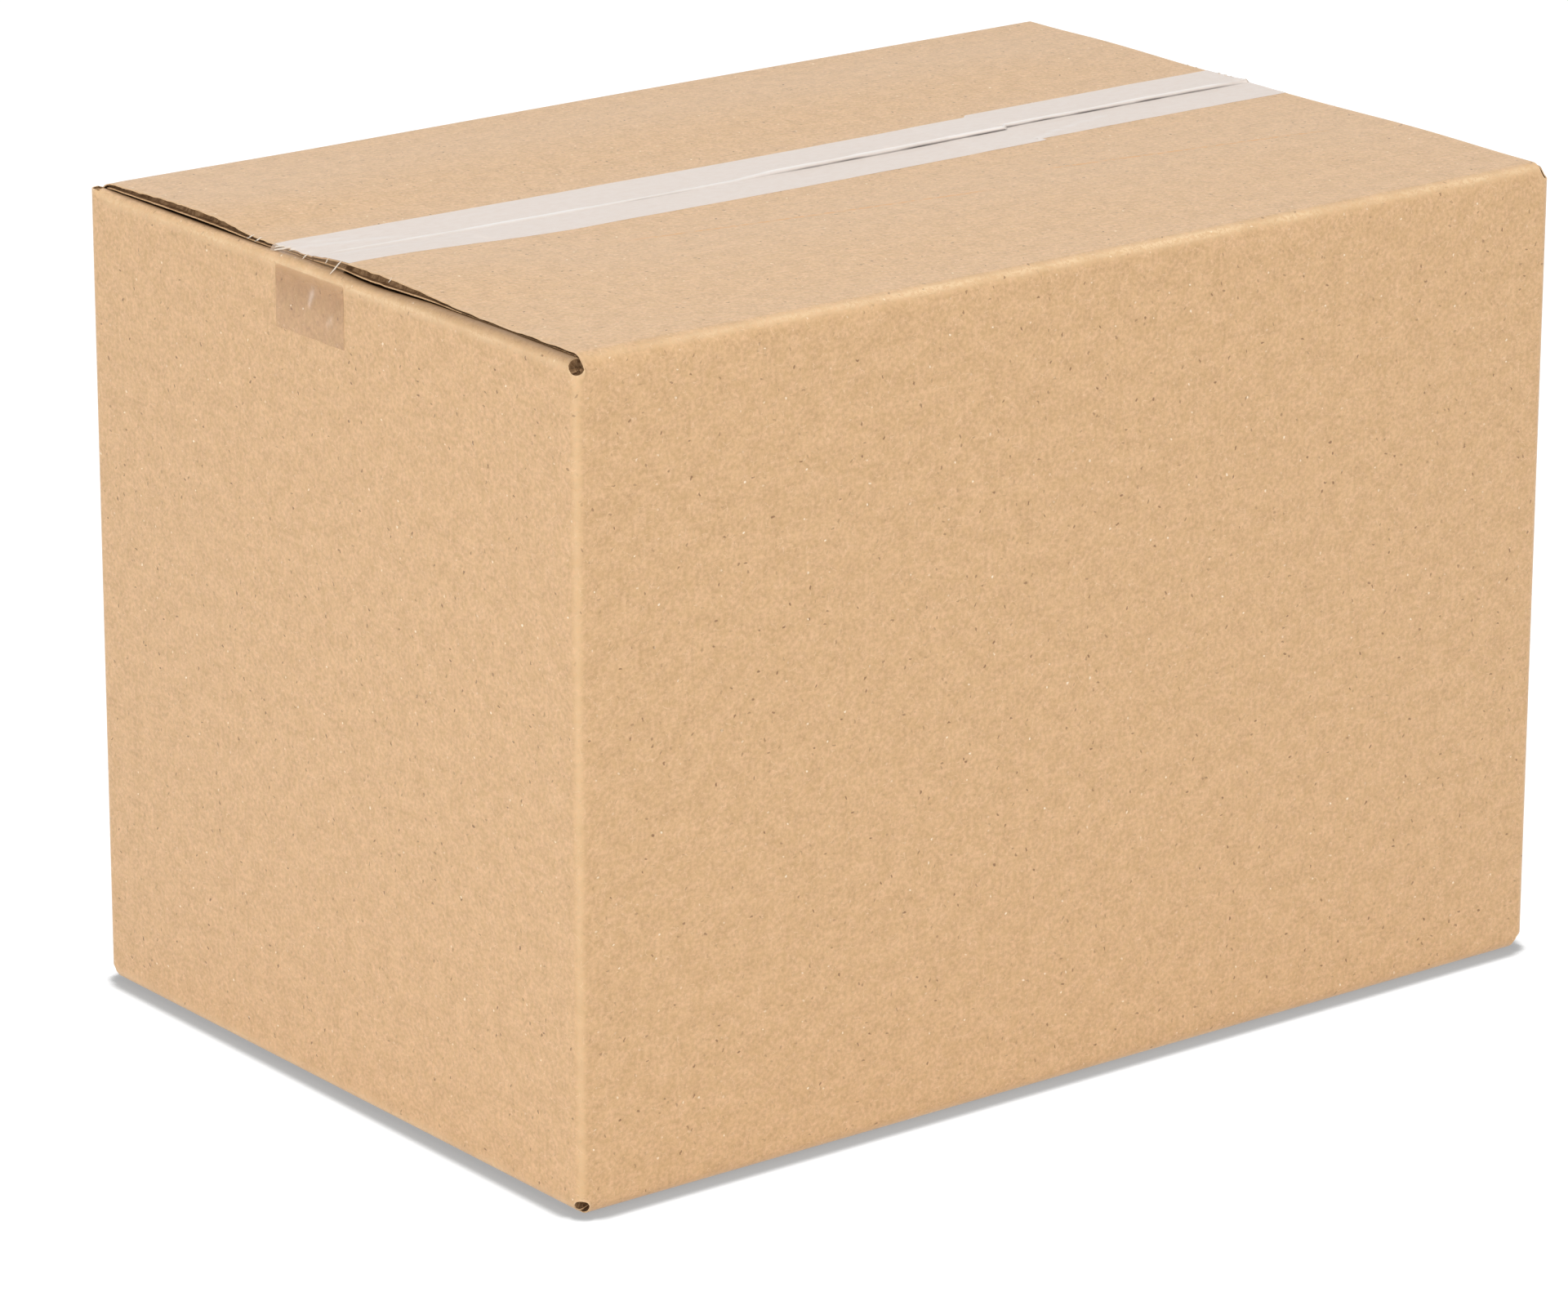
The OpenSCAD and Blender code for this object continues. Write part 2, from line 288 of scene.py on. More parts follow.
# %% [markdown]
# ## Rows
# A flap and its fold have a section: how far in (n) and how deep under the closed face (d)
# each row lies, for the outer and the inner face of the board. An outer flap turns round
# one centre. An inner flap has a tighter fold, because all creases of the blank lie on one
# line: it starts nearly level with the outer flaps, and slopes down under them.
#
# The third point of each fold lies level with the end of the slot, so that the stub of
# board round an upright fold can join there.

# %% Sections of the folds
FOLD_ROWS, TOP_ROWS, BOTTOM_ROWS, RIM_ROWS, WALL_ROWS = 10, 56, 20, 4, 44
RIM = 14.0
TOP_FOLD_R, SHARPER = 7.6, 2.1
# How far the left inner flap's fold is pushed up: y along it, and the rise
PUSHED_UP = ([-150, -110, -64, -34, -20, -6, 24, 44], [0.7, 1.1, 1.2, 0.0, 0.0, 0.9, 0.8, 0.0])
KNOCKED_SHUT = 1.4
# How far an inner flap's heel is drawn in, and how far its straight start reaches down
HEEL_IN, START_DOWN = 2.15, 2


def top_radius(x):
    """Radius of the outer top folds. They are sharper to the right."""
    return TOP_FOLD_R - SHARPER * float(smooth(x, -200, 40))


def crown(x, y):
    """How deep an inner flap's fold stands under the top."""
    return CROWN - float(np.interp(y, *PUSHED_UP)) * (x < 0)


def top_slot(u):
    """How deep a slot ends at the top. The knock on the back left corner nearly closed its slot."""
    return TOP_SLOT - KNOCKED_SHUT * float(smooth(abs(u - BACK_LEFT), 16, 5))


def fold_angles(r, deep, slot, last):
    """Angles of the fold's points. The third is level with the end of the slot."""
    level = math.asin(min(max((deep + r - slot) / r, 0), 1))
    return np.concatenate([np.linspace(0, level, 3), np.linspace(level, last, FOLD_ROWS - 1)[1:]])


def outer_fold(r, slot):
    a = fold_angles(r, 0, slot, math.pi / 2)
    return (r - r * np.cos(a), r - r * np.sin(a),
            r - (r - BOARD) * np.cos(a), r - (r - BOARD) * np.sin(a))


def slope(deep):
    """How steeply an inner flap slopes down from its fold to its place under the outer ones."""
    return (BOARD + LAYER_GAP - deep) / (LEVEL_FROM - INNER_FOLD_R)


def inner_fold(slot, deep):
    """The fold of an inner flap, which starts below the slot's end at the top of the box."""
    r, last = INNER_FOLD_R, math.pi / 2 + math.atan(slope(deep))
    middle = deep + r
    heel = middle + BOARD / math.cos(math.atan(slope(deep))) - HEEL_IN
    if slot > middle:
        drop = np.linspace(slot + START_DOWN, slot, 3)
        a = np.linspace(0, last, FOLD_ROWS - 2)
    else:
        drop = np.zeros(0)
        a = fold_angles(r, deep, slot, last)
    flat = np.zeros(len(drop))
    return (np.concatenate([flat, r - r * np.cos(a)]),
            np.concatenate([drop, middle - r * np.sin(a)]),
            np.concatenate([flat + BOARD, BOARD + INNER_R * (1 - np.cos(a))]),
            np.concatenate([drop + heel - middle, heel - INNER_R * np.sin(a)]))


# %% [markdown]
# The rows of a flap follow its fold. Near the raw end of an outer flap the inner flap under
# it presses its inner face up, so the board gets thin there.

# %% Sections of the flaps
BOTTOM_GAP = 1.5
FIRST_SHARE = 0.024
# Where a flap's lift also opens the crease under its raw end, and by what share of the lift
END_ZONE, OPENED = 12, 0.25
PRESSED_FROM = SLOT_INSET - 0.7


def flap_share(rows):
    """Where the rows lie, from the fold at 0 to the cut edge at 1. The first two are close."""
    return np.concatenate([[FIRST_SHARE, 2 * FIRST_SHARE], np.linspace(2 * FIRST_SHARE, 1, rows - 1)[1:]])


def pressed_depth(x, n, side, at_top):
    """Deepest that an outer flap's inner face can lie, where an inner flap is under it."""
    from_end = LENGTH / 2 - abs(x)
    if from_end > WIDTH / 2 + LAYER_GAP:
        return np.full(len(n), 2 * BOARD)
    y = side * (WIDTH / 2 - n)
    deep = np.array([crown(x, each) if at_top else CROWN for each in y])
    return np.minimum(deep - LAYER_GAP + (from_end - INNER_FOLD_R) * slope(deep), BOARD)


def flap_section(column, at_top):
    """n and d of the fold's and the flap's rows, for the outer and the inner face."""
    k, rows = column["k"], TOP_ROWS if at_top else BOTTOM_ROWS
    slot = top_slot(column["u"]) if at_top else BOTTOM_SLOT
    share = flap_share(rows)
    if k % 2:
        y = -column["t"] if k == 1 else column["t"]
        n, d, n_in, d_in = inner_fold(slot, crown(k - 2, y) if at_top else CROWN)
        run = n[-1] + (WIDTH / 2 - n[-1]) * share
        d_run = np.interp(run, [n[-1], LEVEL_FROM], [d[-1], BOARD + LAYER_GAP])
        in_run = n_in[-1] + (WIDTH / 2 - n_in[-1]) * share
        d_in_run = np.interp(in_run, [n_in[-1], LEVEL_FROM + 1], [d_in[-1], 2 * BOARD + LAYER_GAP])
        return np.append(n, run), np.append(d, d_run), np.append(n_in, in_run), np.append(d_in, d_in_run)
    side = 1 if k == 0 else -1
    x = -column["t"] if k == 0 else column["t"]
    n, d, n_in, d_in = outer_fold(top_radius(x) if at_top else BOTTOM_FOLD_R, slot)
    reach = float(flap_reach(side, x)) if at_top else (WIDTH - BOTTOM_GAP) / 2
    run = n[-1] + (reach - n[-1]) * share
    n, n_in = np.append(n, run), np.append(n_in, run)
    lift = flap_lift(side, x, n) if at_top else np.zeros(len(n))
    d, d_in = np.append(d, 0 * run) - lift, np.append(d_in, BOARD + 0 * run) - lift
    # A lifted end also stands a little off the inner flap's fold
    opened = OPENED * np.maximum(lift, 0) * (LENGTH / 2 - abs(x) < END_ZONE)
    pressed = pressed_depth(x, n, side, at_top) - opened
    d_in = np.where(n > PRESSED_FROM, np.minimum(d_in, pressed), d_in)
    return n, d, n_in, d_in


# %% [markdown]
# ## Walls
# The long panels bulge out a little, as they do on any box that has been taped shut. The
# bulge fades to nothing at the folds, which keep the walls straight.

# %% Bulge of a wall
LONG_BULGE, END_BULGE = 0.9, 0.6
WAVES, FINE_WAVES = 0.22, 0.07


def wall_push(k, t, z):
    """How far the wall of panel k stands out, in mm, at t along it and at height z."""
    s = np.clip((t + SPANS[k] / 2) / SPANS[k], 0, 1)
    h = np.clip((z - BASE - RIM) / (TOP - BASE - 2 * RIM), 0, 1)
    window = np.sqrt(np.sin(np.pi * s) * np.sin(np.pi * h))
    bulge = (LONG_BULGE if k % 2 == 0 else END_BULGE) * window ** 2
    rough = WAVES * soft_noise(t, z, 71, 20 + k) + FINE_WAVES * soft_noise(t, z, 19, 30 + k)
    return bulge + rough * window


# %% [markdown]
# ## Folding the blank
# Each column now gets its rows: bottom flap, fold, wall, fold, top flap. Columns in a slot
# have only the rows between the slots' round ends.

# %% Positions of all points on both faces
wall_z = np.linspace(BASE + RIM, TOP - RIM, WALL_ROWS + 1)
B_FOLD = BOTTOM_ROWS
B_RIM = B_FOLD + FOLD_ROWS
B_WALL = B_RIM + RIM_ROWS
T_WALL = B_WALL + WALL_ROWS
T_RIM = T_WALL + RIM_ROWS
T_FOLD = T_RIM + FOLD_ROWS
ROWS = T_FOLD + TOP_ROWS + 1
STUB_LOW, STUB_HIGH = B_RIM - 2, T_RIM + 2


def full_column(column):
    """Rows of a column that has both flaps: n and z on the outer and the inner face."""
    bottom, top = flap_section(column, False), flap_section(column, True)
    n = np.concatenate([bottom[0][::-1], np.zeros(ROWS - len(bottom[0]) - len(top[0])), top[0]])
    n_in = np.concatenate([bottom[2][::-1], np.full(ROWS - len(bottom[2]) - len(top[2]), BOARD), top[2]])
    z = np.zeros(ROWS)
    z_in = np.zeros(ROWS)
    for heights, low, high in ((z, bottom[1], top[1]), (z_in, bottom[3], top[3])):
        heights[:B_RIM + 1] = BASE + low[::-1]
        heights[T_RIM:] = TOP - high
        heights[B_RIM:B_WALL + 1] = np.linspace(heights[B_RIM], wall_z[0], RIM_ROWS + 1)
        heights[T_WALL:T_RIM + 1] = np.linspace(wall_z[-1], heights[T_RIM], RIM_ROWS + 1)
        heights[B_WALL:T_WALL + 1] = wall_z
    push = np.zeros(ROWS)
    push[B_WALL:T_WALL + 1] = wall_push(column["k"], column["t"], wall_z)
    return n - push, z, n_in - push, z_in


def stub_column(column):
    """Rows of a column in a slot, or in the tab, which has no flaps."""
    middle, half = min(slots, key=lambda s: abs(s[0] - column["u"]))
    round_off = math.sqrt(max(1 - ((column["u"] - middle) / half) ** 2, 0))
    low = BASE + BOTTOM_SLOT + BOTTOM_ROUND * round_off
    high = TOP - top_slot(column["u"]) - (0 if middle == BACK_LEFT else SLOT_ROUND * round_off)
    z = np.full(ROWS, np.nan)
    z[B_WALL:T_WALL + 1] = wall_z
    z[STUB_LOW:B_WALL + 1] = np.linspace(low, wall_z[0], B_WALL - STUB_LOW + 1)
    z[T_WALL:STUB_HIGH + 1] = np.linspace(wall_z[-1], high, STUB_HIGH - T_WALL + 1)
    if column["panel"] == "tab":
        centre = (TOP + BASE) / 2
        z = centre + (z - centre) * (1 - TAB_SHORTER - 2 * TAB_TAPER / TOP * column["t"] / TAB_WIDTH)
    return np.zeros(ROWS), z, None, z


outer_pts = np.full((len(columns), ROWS, 3), np.nan)
inner_pts = outer_pts.copy()
for i, column in enumerate(columns):
    whole = column["panel"] in PANELS
    n, z, n_in, z_in = full_column(column) if whole else stub_column(column)
    outer_pts[i, :, :2] = column["outer"] + n[:, None] * column["inward"]
    outer_pts[i, :, 2] = z
    inner_pts[i, :, :2] = column["outer"] + n_in[:, None] * column["inward"] if whole else column["inner"]
    inner_pts[i, :, 2] = z_in
print("points on each face:", int(np.isfinite(outer_pts[:, :, 2]).sum()))

# %% [markdown]
# The cells between the points make the two faces of the board. The edge of the sheet is
# one closed line: each side of a cell that no other cell shares is on it. Walked in order,
# it gives the raw edge all round the blank.

# %% Cells, and the line of the raw edge
def cell_rows(i):
    """The rows of cells between column i and the next. Between panels there are no flaps."""
    same = columns[i]["panel"] == columns[i + 1]["panel"] and columns[i]["panel"] in PANELS
    return range(ROWS - 1) if same else range(STUB_LOW, STUB_HIGH)


def cell_ring(i, j):
    return [(i, j), (i + 1, j), (i + 1, j + 1), (i, j + 1)]


cells = [(i, j) for i in range(len(columns) - 1) for j in cell_rows(i)]
loose = set()
for i, j in cells:
    ring = cell_ring(i, j)
    for a, b in zip(ring, ring[1:] + ring[:1]):
        if (b, a) in loose:
            loose.remove((b, a))
        else:
            loose.add((a, b))
following = dict(loose)
edge_line = [min(following)]
while following[edge_line[-1]] != edge_line[0]:
    edge_line.append(following[edge_line[-1]])
assert len(edge_line) == len(loose)
print(len(cells), "cells,", len(edge_line), "points along the raw edge")

# %% [markdown]
# ## Raw edges
# Cut across, the board shows two thin liners with the fluting between them. Along the ends
# of the outer flaps the cut runs with the flutes, so it opens one, and the edge is a deep
# dark groove between two lips. Elsewhere the fluting ends near the edge and the groove is
# shallow. Real cuts are uneven, so the lips and the groove wander.

# %% Rings of points between the two faces along the raw edge
GROOVE, SHALLOW, WANDER = 2.3, 0.7, 0.14
# A lip is a liner thick, or this share of the board where the board is pressed thin
LIP_SHARE = 0.24
# The rings in turn: 1 on the outer lip, -1 on the inner one, 0 between, and how deep
RINGS = [(1, 0), (1, 0.75), (0, 1.1), (-1, 0.75), (-1, 0)]


def edge_rings():
    """Points of the two lips and of the groove between them, a row of them for each ring."""
    ids = np.array(edge_line)
    out, inn = outer_pts[ids[:, 0], ids[:, 1]], inner_pts[ids[:, 0], ids[:, 1]]
    tangent = np.roll(out, -1, 0) - np.roll(out, 1, 0)
    tangent /= np.linalg.norm(tangent, axis=1)[:, None]
    through = inn - out
    thick = np.linalg.norm(through, axis=1)
    through /= thick[:, None]
    # Faces lie left of the line, so the way into the sheet is across line and thickness
    into = np.cross(tangent, through)
    into /= np.linalg.norm(into, axis=1)[:, None]
    run = np.cumsum(np.linalg.norm(out - np.roll(out, 1, 0), axis=1))
    at_end = np.isclose(np.abs(out[:, 0]), LENGTH / 2 - SLOT_INSET, atol=0.1)
    at_end &= [columns[i]["panel"] in ("front", "back") for i, _ in edge_line]
    depth = np.where(at_end, GROOVE * (1 + 0.3 * soft_noise(run, 0, 5, 41)), SHALLOW)
    lip = np.minimum(LINER, thick * LIP_SHARE)
    across = {1: lip, 0: thick / 2, -1: thick - lip}
    wander = WANDER * soft_noise(run, 3, 4, 42)
    rings = []
    for place, deep in RINGS:
        inward = into * (deep * depth if deep else wander)[:, None]
        rings.append(out + through * across[place][:, None] + inward)
    return rings, run


rings, run = edge_rings()
print("raw edge", round(run[-1] / 1000, 2), "m long")

# %% [markdown]
# ## The carton's mesh
# Faces, rings and edge strips go into one closed mesh. Each point of a face keeps its place
# on the flat blank as its UV coordinate, in metres, so the paper's grain bends round the
# folds as on the real sheet. Two named attributes go with each point for the material to
# read: how pale the spot is, from rubbing and from a painted highlight along the folds, and
# how much painted shade it gets in the crease under the flap's cut end.

# %% Place on the flat blank, and the faces
OUTER, INNER, RAW = 0, 1, 2
# The inner face and the raw edge have places of their own beside the blank
INNER_ASIDE, EDGE_ASIDE, RING_WIDTH = np.array([3000.0, 0.0]), 6000.0, 0.8
# A raw end that was lifted here shows its inner lip in the light
LIT_ROW, LIT_Y = T_RIM + 6, -80


def blank_uv():
    """Place of each point on the flat blank: along it, and up from the middle of a wall."""
    across = np.array([c["u"] for c in columns])[:, None] + np.zeros((1, ROWS))
    step = np.linalg.norm(np.diff(outer_pts, axis=1), axis=2)
    up = np.concatenate([np.zeros((len(columns), 1)), np.cumsum(np.nan_to_num(step), axis=1)], axis=1)
    middle = (B_WALL + T_WALL) // 2
    return np.stack([across, up - up[:, middle:middle + 1]], axis=2)


uv_at = blank_uv()
keep = np.isfinite(outer_pts[:, :, 2])
count = int(keep.sum())
index = np.full(keep.shape, -1)
index[keep] = np.arange(count)


def lip_in_light(i, j):
    return columns[i]["panel"] in ("front", "back") and j > LIT_ROW and outer_pts[i, j, 1] > LIT_Y


def sheet_faces():
    """Both faces of the board: the points of each cell, its finish and its places on the blank."""
    for i, j in cells:
        ring = cell_ring(i, j)
        yield [index[c] for c in ring], OUTER, [uv_at[c] for c in ring]
        back = ring[::-1]
        yield [index[c] + count for c in back], INNER, [uv_at[c] + INNER_ASIDE for c in back]


def edge_faces():
    """The strips of the raw edge, from the outer face over the lips and the groove to the inner."""
    size = len(edge_line)
    levels = [[index[c] for c in edge_line]]
    levels += [[2 * count + size * r + e for e in range(size)] for r in range(len(rings))]
    levels += [[index[c] + count for c in edge_line]]
    for level, (near, far) in enumerate(zip(levels, levels[1:])):
        for e in range(size):
            f = (e + 1) % size
            start, end = run[e], run[e] + np.linalg.norm(rings[0][f] - rings[0][e])
            base = np.array([start, EDGE_ASIDE + level * RING_WIDTH])
            corners = [(end - start, 0), (0, 0), (0, RING_WIDTH), (end - start, RING_WIDTH)]
            on_lip = level == 0 or (level == len(levels) - 2 and lip_in_light(*edge_line[e]))
            yield [near[f], near[e], far[e], far[f]], OUTER if on_lip else RAW, [base + c for c in corners]


print((len(rings) + 1) * len(edge_line), "faces along the raw edge")

# %% [markdown]
# A crease is rubbed pale along a line beside the fold, and on the folds this pale line is also a
# painted highlight. The long panels' line lies on the top face, and the ends' line on the fold
# itself. Cut edges are rubbed too. Under the raw ends of the outer flaps the end panels' fold
# gets painted shade.

# %% Wear, painted highlight and painted shade
# Pale lines, partly rubbed paper and partly a painted highlight on the folds: on the upright folds, on the
# long panels' and the ends' folds, and along cut edges
FOLD_PALE, FOLD_PALE_WIDTH = 0.35, 1.8
LONG_LINE, LONG_WIDTH = 5, 1.9
END_LINE, END_WIDTH = 1, 1.4
SLOT_RUB, EDGE_RUB = 0.8, 0.35
# The pale line differs from one band of rows to the next
BAND_ROWS = 40
# Row of the fold where the painted shade in the crease begins, by y, and where it is darkest
DARK_FROM, DARKEST = ([-20, 45], [0.5, 4.0]), 9.5


def crease(i, row):
    """How pale a point of the outer face is, from 0 to 1: rubbed paper, and on the folds a painted
    highlight.
    """
    column, up = columns[i], uv_at[i, :, 1]
    if column["panel"] not in PANELS:
        middle = min(abs(column["u"] - s[0]) for s in slots)
        return FOLD_PALE * float(hump(middle, 0, FOLD_PALE_WIDTH))
    line, width = (LONG_LINE, LONG_WIDTH) if column["k"] % 2 == 0 else (END_LINE, END_WIDTH)
    away = min(abs(up[row] - up[B_RIM - line]), abs(up[row] - up[T_RIM + line]))
    strength = 0.62 + 0.3 * float(soft_noise(column["t"], row // BAND_ROWS, 9, 71))
    if column["panel"] == "front":
        strength *= 0.4 + 0.8 * float(smooth(column["t"], -215, -120))
    return strength * float(hump(away, 0, width))


def crushed(i, row):
    """How much painted shade a point gets in the crease of an end panel, under the outer flaps' cut ends.
    """
    if columns[i]["k"] % 2 == 0 or columns[i]["panel"] not in PANELS or row < T_RIM:
        return 0.0
    return float(smooth(row - T_RIM, np.interp(outer_pts[i, row, 1], *DARK_FROM), DARKEST))


def pale_and_shade_values(total):
    """The carton's attributes: pale rub with painted highlight, and painted shade, a value for each of its
    points.
    """
    creased, dark = np.zeros(total), np.zeros(total)
    spots = list(zip(*np.nonzero(keep)))
    creased[:count] = [crease(i, j) for i, j in spots]
    dark[:count] = [crushed(i, j) for i, j in spots]
    for i, j in edge_line:
        rub = EDGE_RUB if columns[i]["panel"] in PANELS else SLOT_RUB
        creased[index[i, j]] = max(creased[index[i, j]], rub)
    creased[2 * count:2 * count + len(edge_line)] = SLOT_RUB
    return {"creased": creased, "crushed": dark}


# %% [markdown]
# The carton is now put together, and its smooth shading stops at the cut edges.

# %% Build the carton
def set_attribute(mesh, label, values):
    mesh.attributes.new(label, "FLOAT", "POINT").data.foreach_set("value", values)


def set_uv(mesh, label, places):
    mesh.uv_layers.new(name=label).data.foreach_set("uv", (np.array(places) * MM).ravel())


def build_carton():
    made = list(sheet_faces()) + list(edge_faces())
    faces, finish, places = zip(*made)
    points = np.concatenate([outer_pts[keep], inner_pts[keep]] + rings)
    mesh = bpy.data.meshes.new("carton_board")
    mesh.from_pydata(points * MM, [], faces)
    mesh.polygons.foreach_set("material_index", finish)
    set_uv(mesh, "blank", places)
    for label, values in pale_and_shade_values(len(points)).items():
        set_attribute(mesh, label, values)
    return mesh


def smooth_but_edges(mesh, angle=50):
    """Shades a mesh smoothly, apart from edges that turn by more than the angle."""
    bm = bmesh.new()
    bm.from_mesh(mesh)
    for face in bm.faces:
        face.smooth = True
    for edge in bm.edges:
        edge.smooth = len(edge.link_faces) == 2 and edge.calc_face_angle(0) < math.radians(angle)
    open_edges = sum(len(e.link_faces) != 2 for e in bm.edges)
    bm.to_mesh(mesh)
    bm.free()
    return open_edges


def add_object(mesh):
    """An object of the same name as its mesh, in the scene."""
    made = bpy.data.objects.new(mesh.name, mesh)
    bpy.context.collection.objects.link(made)
    return made


carton_mesh = build_carton()
print("open edges:", smooth_but_edges(carton_mesh))
carton = add_object(carton_mesh)
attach(carton, "root")
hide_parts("carton")
print(sum(len(p.vertices) - 2 for p in carton_mesh.polygons), "triangles")

# %% [markdown]
# ## The tape on top
# Two strips of film close the top seam, and the left one laps over the right one. A strip
# is far thinner than anything else here. It could be a flat plane with a transparent
# material, but a closed skin keeps its thickness in other programs too. Its surface follows
# the flaps' height function, bridges the seam, and stands up in a small ridge where it was
# creased. Its end bends over the raw edge and sticks to the end panel.

# %% Surface of the top strips
# The tape's width, and how far behind the seam its middle lies
TAPE_W, TAPE_SHIFT = 48.0, 1.0
# Where the left strip ends, how far it laps over the right one, and the step between rows
JOIN_X, LAP, STATION = JOG_TO, 30.8, 1.4
RAW_X = LENGTH / 2 - SLOT_INSET
RIDGE, RIDGE_WIDTH, WIDER_LEFT = 0.75, 0.62, 0.35
# Film never lies quite flat: its least height off the board
LOOSE = 0.03
# Each wrinkle's start and end, with y from the seam, its height and its size across
WRINKLES = [((96, -21), (112, -14), 0.3, 0.9), ((112, -14), (146, -6), 0.25, 0.9),
            ((-222, 14), (-186, 6), 0.3, 1.4), ((-224, -4), (-192, -9), 0.22, 1.2),
            ((-220, 20), (-200, 15), 0.2, 1)]


def top_surface(x, y):
    """Height of the flaps' face, or of the film that bridges the space between them."""
    front = flap_lift(-1, x, np.minimum(y + WIDTH / 2, flap_reach(-1, x)))
    back = flap_lift(1, x, np.minimum(WIDTH / 2 - y, flap_reach(1, x)))
    share = smooth(y - seam_y(x), -SEAM_GAP / 2, SEAM_GAP / 2)
    return TOP + front * (1 - share) + back * share


def ridge_line(x):
    """How far from the seam the film's ridge stands. It wanders left of the middle."""
    return 0.4 + 1.6 * soft_noise(x, 0, 40, 51) * smooth(-x, 0, 60)


def ridge(x, y):
    """The narrow crease of film that stands up along the seam."""
    height = RIDGE * smooth(x, -227, -215) * smooth(x, 226, 205)
    height = height * (0.8 + 0.3 * soft_noise(x, 5, 14, 52))
    return height * hump(y - seam_y(x), ridge_line(x), RIDGE_WIDTH + WIDER_LEFT * smooth(-x, 60, 140))


def wrinkle(x, y, start, end, height, size):
    """A straight fold in the film from one point to another."""
    a, b = np.array(start, float), np.array(end, float)
    way = (b - a) / np.linalg.norm(b - a)
    along = (x - a[0]) * way[0] + (y - a[1]) * way[1]
    off = -(x - a[0]) * way[1] + (y - a[1]) * way[0]
    span = np.linalg.norm(b - a)
    return height * hump(off, 0, size) * smooth(along, -4, 4) * smooth(along, span + 4, span - 4)


def wrinkles(x, y):
    off = np.asarray(y, float) - SEAM_Y
    return sum(wrinkle(x, off, *each) for each in WRINKLES)


def film_lift(x, y):
    """How far the film stands off the flaps."""
    return LOOSE + LOOSE * (1 + soft_noise(x, y, 9, 53)) + ridge(x, y) + wrinkles(x, y)


print("film over the seam, mm:", round(float(film_lift(50.0, SEAM_Y)), 2))

# %% [markdown]
# A strip is a grid too. Its stations run from its square-cut end along the top, over the
# raw edge, and down the end panel. The same function makes both strips, as the right one is
# the left one turned round. Three named attributes go with each point. `milk`: film looks
# white where it bridges the board's rough face, and clear where it was rubbed down.
# `cover`: how much of what lies under it the film hides. The third: above 0 for painted shade on
# a line in front of the ridge, over the seam, and below 0 for a painted highlight on the ridge
# and the wrinkles.

# %% Stations of a top strip
# Points stand closer near the seam, up to this far from it
NEAR_SEAM, FINE_STEP = 4.4, 0.4
# The toothed blade of a tape gun leaves teeth of this height and width
TOOTH, TOOTH_WIDTH = 0.4, 1.6
STRIP_COVER = 0.87
# The left strip lies this much higher where it laps over the right one
LAP_STEP = 0.08
# Painted light on the seam: where the line of painted shade lies in front of the ridge, how wide it is,
# and how strongly the ridge and the wrinkles get a painted highlight
DARK_OFF, DARK_WIDTH, RIDGE_HIGHLIGHT_SHARE = 1.1, 0.58, 1.4


def across_steps():
    fine = np.arange(-NEAR_SEAM, NEAR_SEAM + 0.01, FINE_STEP)
    coarse = np.linspace(NEAR_SEAM, TAPE_W / 2, 10)[1:]
    return np.concatenate([-coarse[::-1], fine, coarse])


def seam_shade_strength(x):
    """How strong the painted shade on the line along the seam is. It is broken left of the middle."""
    main = smooth(x, -45, 20) * smooth(x, 229, 212) * (0.8 + 0.35 * soft_noise(x, 2, 11, 57))
    faint = (0.5 * hump(x, -72, 14) + 0.14 * smooth(-x, 80, 130)) * (0.6 + 0.5 * soft_noise(x, 2, 9, 58))
    return np.clip(main + faint, 0, 1)


def strip_points(side, start_x):
    """Rows of points from the strip's cut end to its tail. side is -1 left or 1 right."""
    across = across_steps() + TAPE_SHIFT
    rows, looks = [], []
    top_x = np.arange(abs(start_x - side * RAW_X), 0, -STATION)
    teeth = TOOTH * np.abs((across / TOOTH_WIDTH) % 2 - 1)
    for k, left in enumerate(top_x):
        x = side * (RAW_X - left) + (teeth * side if k == 0 else 0)
        y = across + (SEAM_Y if side < 0 else seam_y(x))
        step = LAP_STEP * smooth(x, JOIN_X - LAP - 0.5, JOIN_X - LAP + 0.5) if side < 0 else 0
        z = top_surface(x, y) + film_lift(x, y) + step
        rows.append(np.stack([x + 0 * y, y, z], 1))
        # Painted shade on a line in front of the ridge, and a painted highlight on the ridge and the
        # wrinkles
        gap = seam_shade_strength(x) * hump(y - seam_y(x), ridge_line(x) - DARK_OFF, DARK_WIDTH)
        gap = gap - RIDGE_HIGHLIGHT_SHARE * (ridge(x, y) + wrinkles(x, y)) * (1 - gap)
        looks.append((1 + 0 * y, STRIP_COVER + 0 * y, gap))
    y = across + (SEAM_Y if side < 0 else seam_y(RAW_X))
    return y, rows, looks, top_surface(side * RAW_X, y)


print("a strip has", len(across_steps()), "points across")

# %% [markdown]
# The end of a strip leaves the flap's raw end, bridges to the fold of the end panel, follows
# that fold and sticks to the panel. It is a little narrower there, since the film gathers.
# On the bridge it is crumpled and clear with torn white places. Lower down it has wetted the
# paper, apart from a few places that weren't rubbed down.

# %% Tail of a top strip
TAIL_LOW, TAIL_NARROWER, TAIL_ASIDE = TOP - 28.3, 4.0, 4.5
# How far film stands off the face it lies on, at the raw end and on the panel
OFF_EDGE, OFF_PANEL = 0.08, 0.06
BRIDGE = (0.25, 0.5, 0.75)
CRUMPLE, UNEVEN_END = 0.3, 0.5
# What the film hides where it is loose, what sticking and whiteness add, and the most
CLEAR, STUCK, MILKY, MOST = 0.2, 0.72, 0.6, 0.92
# Places that weren't rubbed down: y, z, size and strength. They lean by this share
UNRUBBED = [(5.8, 310.5, 1.5, 0.42), (7.3, 307, 1.0, 0.3), (-5.6, 302.5, 1.1, 0.3)]
LEAN, LONGER = 0.4, 1.6


